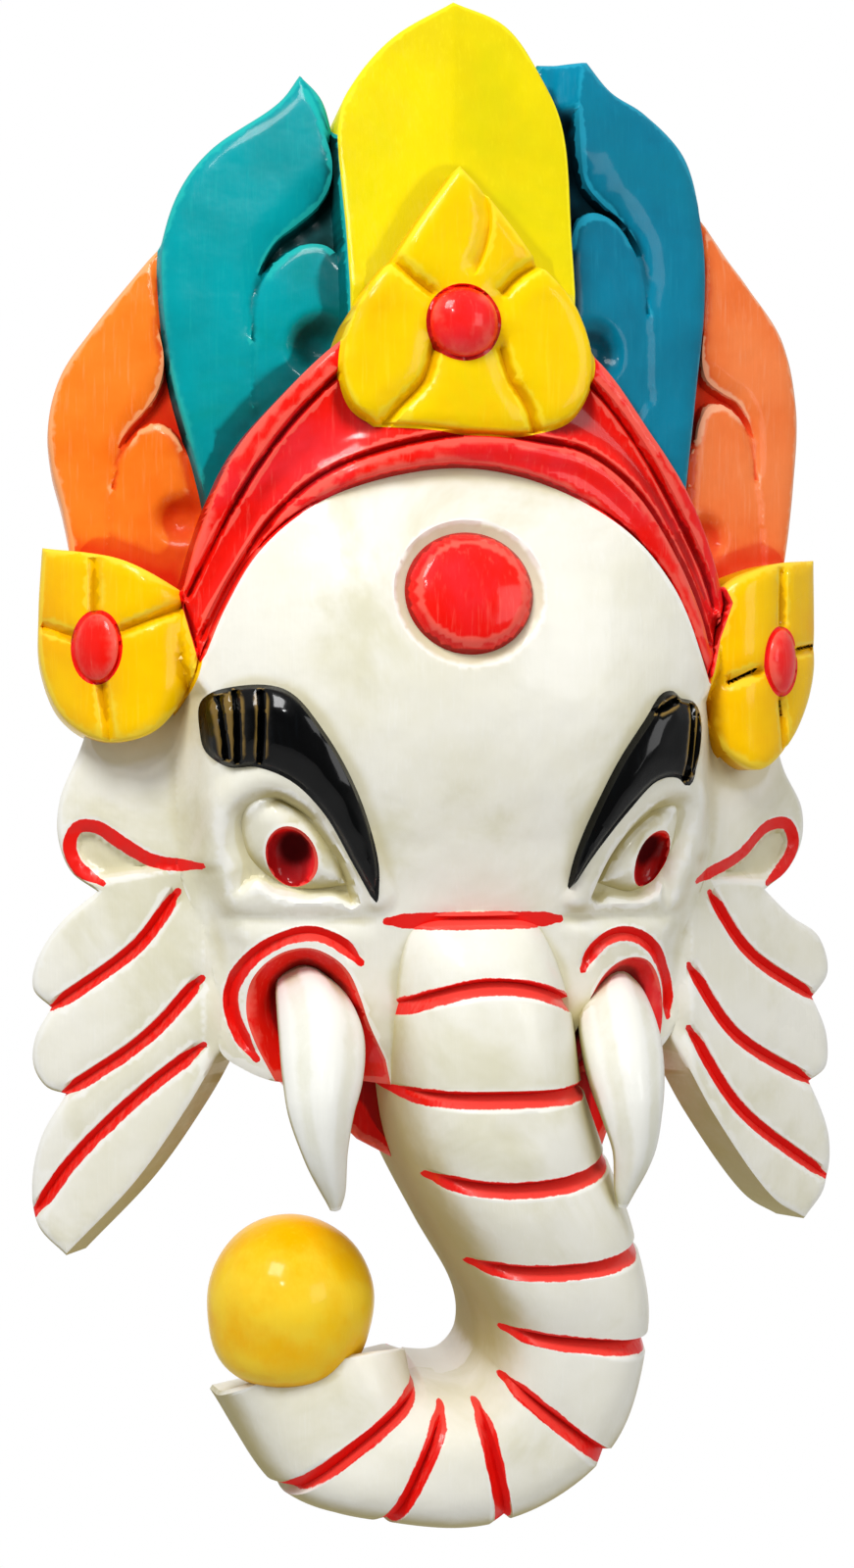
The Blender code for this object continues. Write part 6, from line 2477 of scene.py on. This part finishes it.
class Studio:
    """Pale floor, a white board behind, a pale room, soft lights and the camera."""

    CAMERA_TURN = -11.0
    CAMERA_DISTANCE = 0.70
    FRAME_HEIGHT = 0.5232
    SENSOR = 36.0
    FLOOR_LEVEL = -1.30
    FLOOR_HALF = 2.1
    BOARD_EDGE = 0.87
    BOARD_BLUR = 0.02
    BOARD_LIGHT = 1.0
    ROOM_LIGHT = 0.5
    FRONT_LIGHT = 0.12
    FRONT_EDGES = (-0.85, -0.3)

    def build(self) -> None:
        """Set everything round the mask."""
        scene = bpy.context.scene
        scene.view_settings.view_transform = "Standard"
        scene.view_settings.look = "None"
        scene.world = bpy.data.worlds.new("white_room")
        self.light_room(scene.world)
        self.add_floor()
        self.add_light("key", -34.0, 46.0, 1.3, 0.42, 12.4)
        self.add_light("fill", 34.0, 14.0, 1.5, 0.6, 4.6)
        self.add_light("window", -20.0, 30.0, 1.5, 0.10, 2.2)
        self.add_camera()

    def light_room(self, world: World) -> None:
        """Light the room: dim in front, pale round about, white on the board behind."""
        world.use_nodes = True
        backdrop = world.node_tree.nodes["Background"]
        backdrop.inputs["Color"].default_value = linear("#FFFFFF")
        nodes = Nodes(world.node_tree, backdrop)
        turn = math.radians(self.CAMERA_TURN)
        toward = {"operation": "DOT_PRODUCT", "in:1": (-math.sin(turn), math.cos(turn), 0.0)}
        way = nodes.coordinate("Generated")
        board = nodes.add("ShaderNodeVectorMath", toward, {0: way}, "Value")
        rise = {
            "interpolation_type": "SMOOTHSTEP", "in:From Min": self.FRONT_EDGES[0],
            "in:From Max": self.FRONT_EDGES[1], "in:To Min": self.FRONT_LIGHT,
            "in:To Max": self.ROOM_LIGHT,
        }
        room = nodes.add("ShaderNodeMapRange", rise, {"Value": board})
        rise = {
            "interpolation_type": "SMOOTHSTEP", "in:From Min": self.BOARD_EDGE,
            "in:From Max": self.BOARD_EDGE + self.BOARD_BLUR, "in:To Max": self.BOARD_LIGHT,
        }
        strength = nodes.add("ShaderNodeMapRange", rise, {"Value": board, "To Min": room})
        nodes.feed("Strength", strength)

    def add_floor(self) -> None:
        """Lay a pale floor well below the mask."""
        bm = bmesh.new()
        bmesh.ops.create_grid(bm, x_segments=1, y_segments=1, size=self.FLOOR_HALF)
        bmesh.ops.translate(bm, verts=bm.verts, vec=(0.0, 0.0, self.FLOOR_LEVEL))
        mesh = bpy.data.meshes.new("floor")
        bm.to_mesh(mesh)
        bm.free()
        floor = bpy.data.objects.new("floor", mesh)
        bpy.context.scene.collection.objects.link(floor)
        material, shader = new_material("pale_floor")
        shader.inputs["Base Color"].default_value = linear("#FCFCFC")
        shader.inputs["Roughness"].default_value = 0.9
        floor.data.materials.append(material)

    def add_light(
        self, name: str, turn: float, rise: float, distance: float, size: float, power: float
    ) -> None:
        """Hang a soft light that faces the mask.

        Args:
            name: Name of the light.
            turn: Degrees to the right of straight ahead.
            rise: Degrees above the level.
            distance: Metres from the mask.
            size: Side of the light in metres.
            power: Watts.
        """
        data = bpy.data.lights.new(name, "AREA")
        data.size = size
        data.energy = power
        light = bpy.data.objects.new(name, data)
        bpy.context.scene.collection.objects.link(light)
        self.aim(light, turn, rise, distance)

    def aim(self, thing: Object, turn: float, rise: float, distance: float) -> None:
        """Place a thing round the mask's middle and point it there."""
        middle = Vector((0.0, 0.0, -MOUNT_LEVEL * MM))
        a = math.radians(turn)
        e = math.radians(rise)
        way = Vector((math.sin(a) * math.cos(e), -math.cos(a) * math.cos(e), math.sin(e)))
        thing.location = middle + way * distance
        thing.rotation_euler = (-way).to_track_quat("-Z", "Y").to_euler()

    def add_camera(self) -> None:
        """Set the camera where the picture was taken from."""
        data = bpy.data.cameras.new("camera")
        data.sensor_width = self.SENSOR
        data.lens = self.SENSOR * self.CAMERA_DISTANCE / self.FRAME_HEIGHT
        data.clip_start = 0.01
        camera = bpy.data.objects.new("camera", data)
        bpy.context.scene.collection.objects.link(camera)
        self.aim(camera, self.CAMERA_TURN, 0.0, self.CAMERA_DISTANCE)
        bpy.context.scene.camera = camera


def main() -> None:
    """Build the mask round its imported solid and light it."""
    logging.basicConfig(level=logging.INFO, format="%(name)s: %(message)s")
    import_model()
    carving = Mask()
    mask = carving.build()
    carving.finish(mask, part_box("mask"))
    mask.name = "mask_carved_and_painted"
    for slot, material in zip(mask.material_slots, paint_box()):
        slot.material = material
    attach(mask, "root")
    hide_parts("mask")
    LOG.info("mask: %d triangles", len(mask.data.polygons))
    Studio().build()


if __name__ == "__main__":
    main()
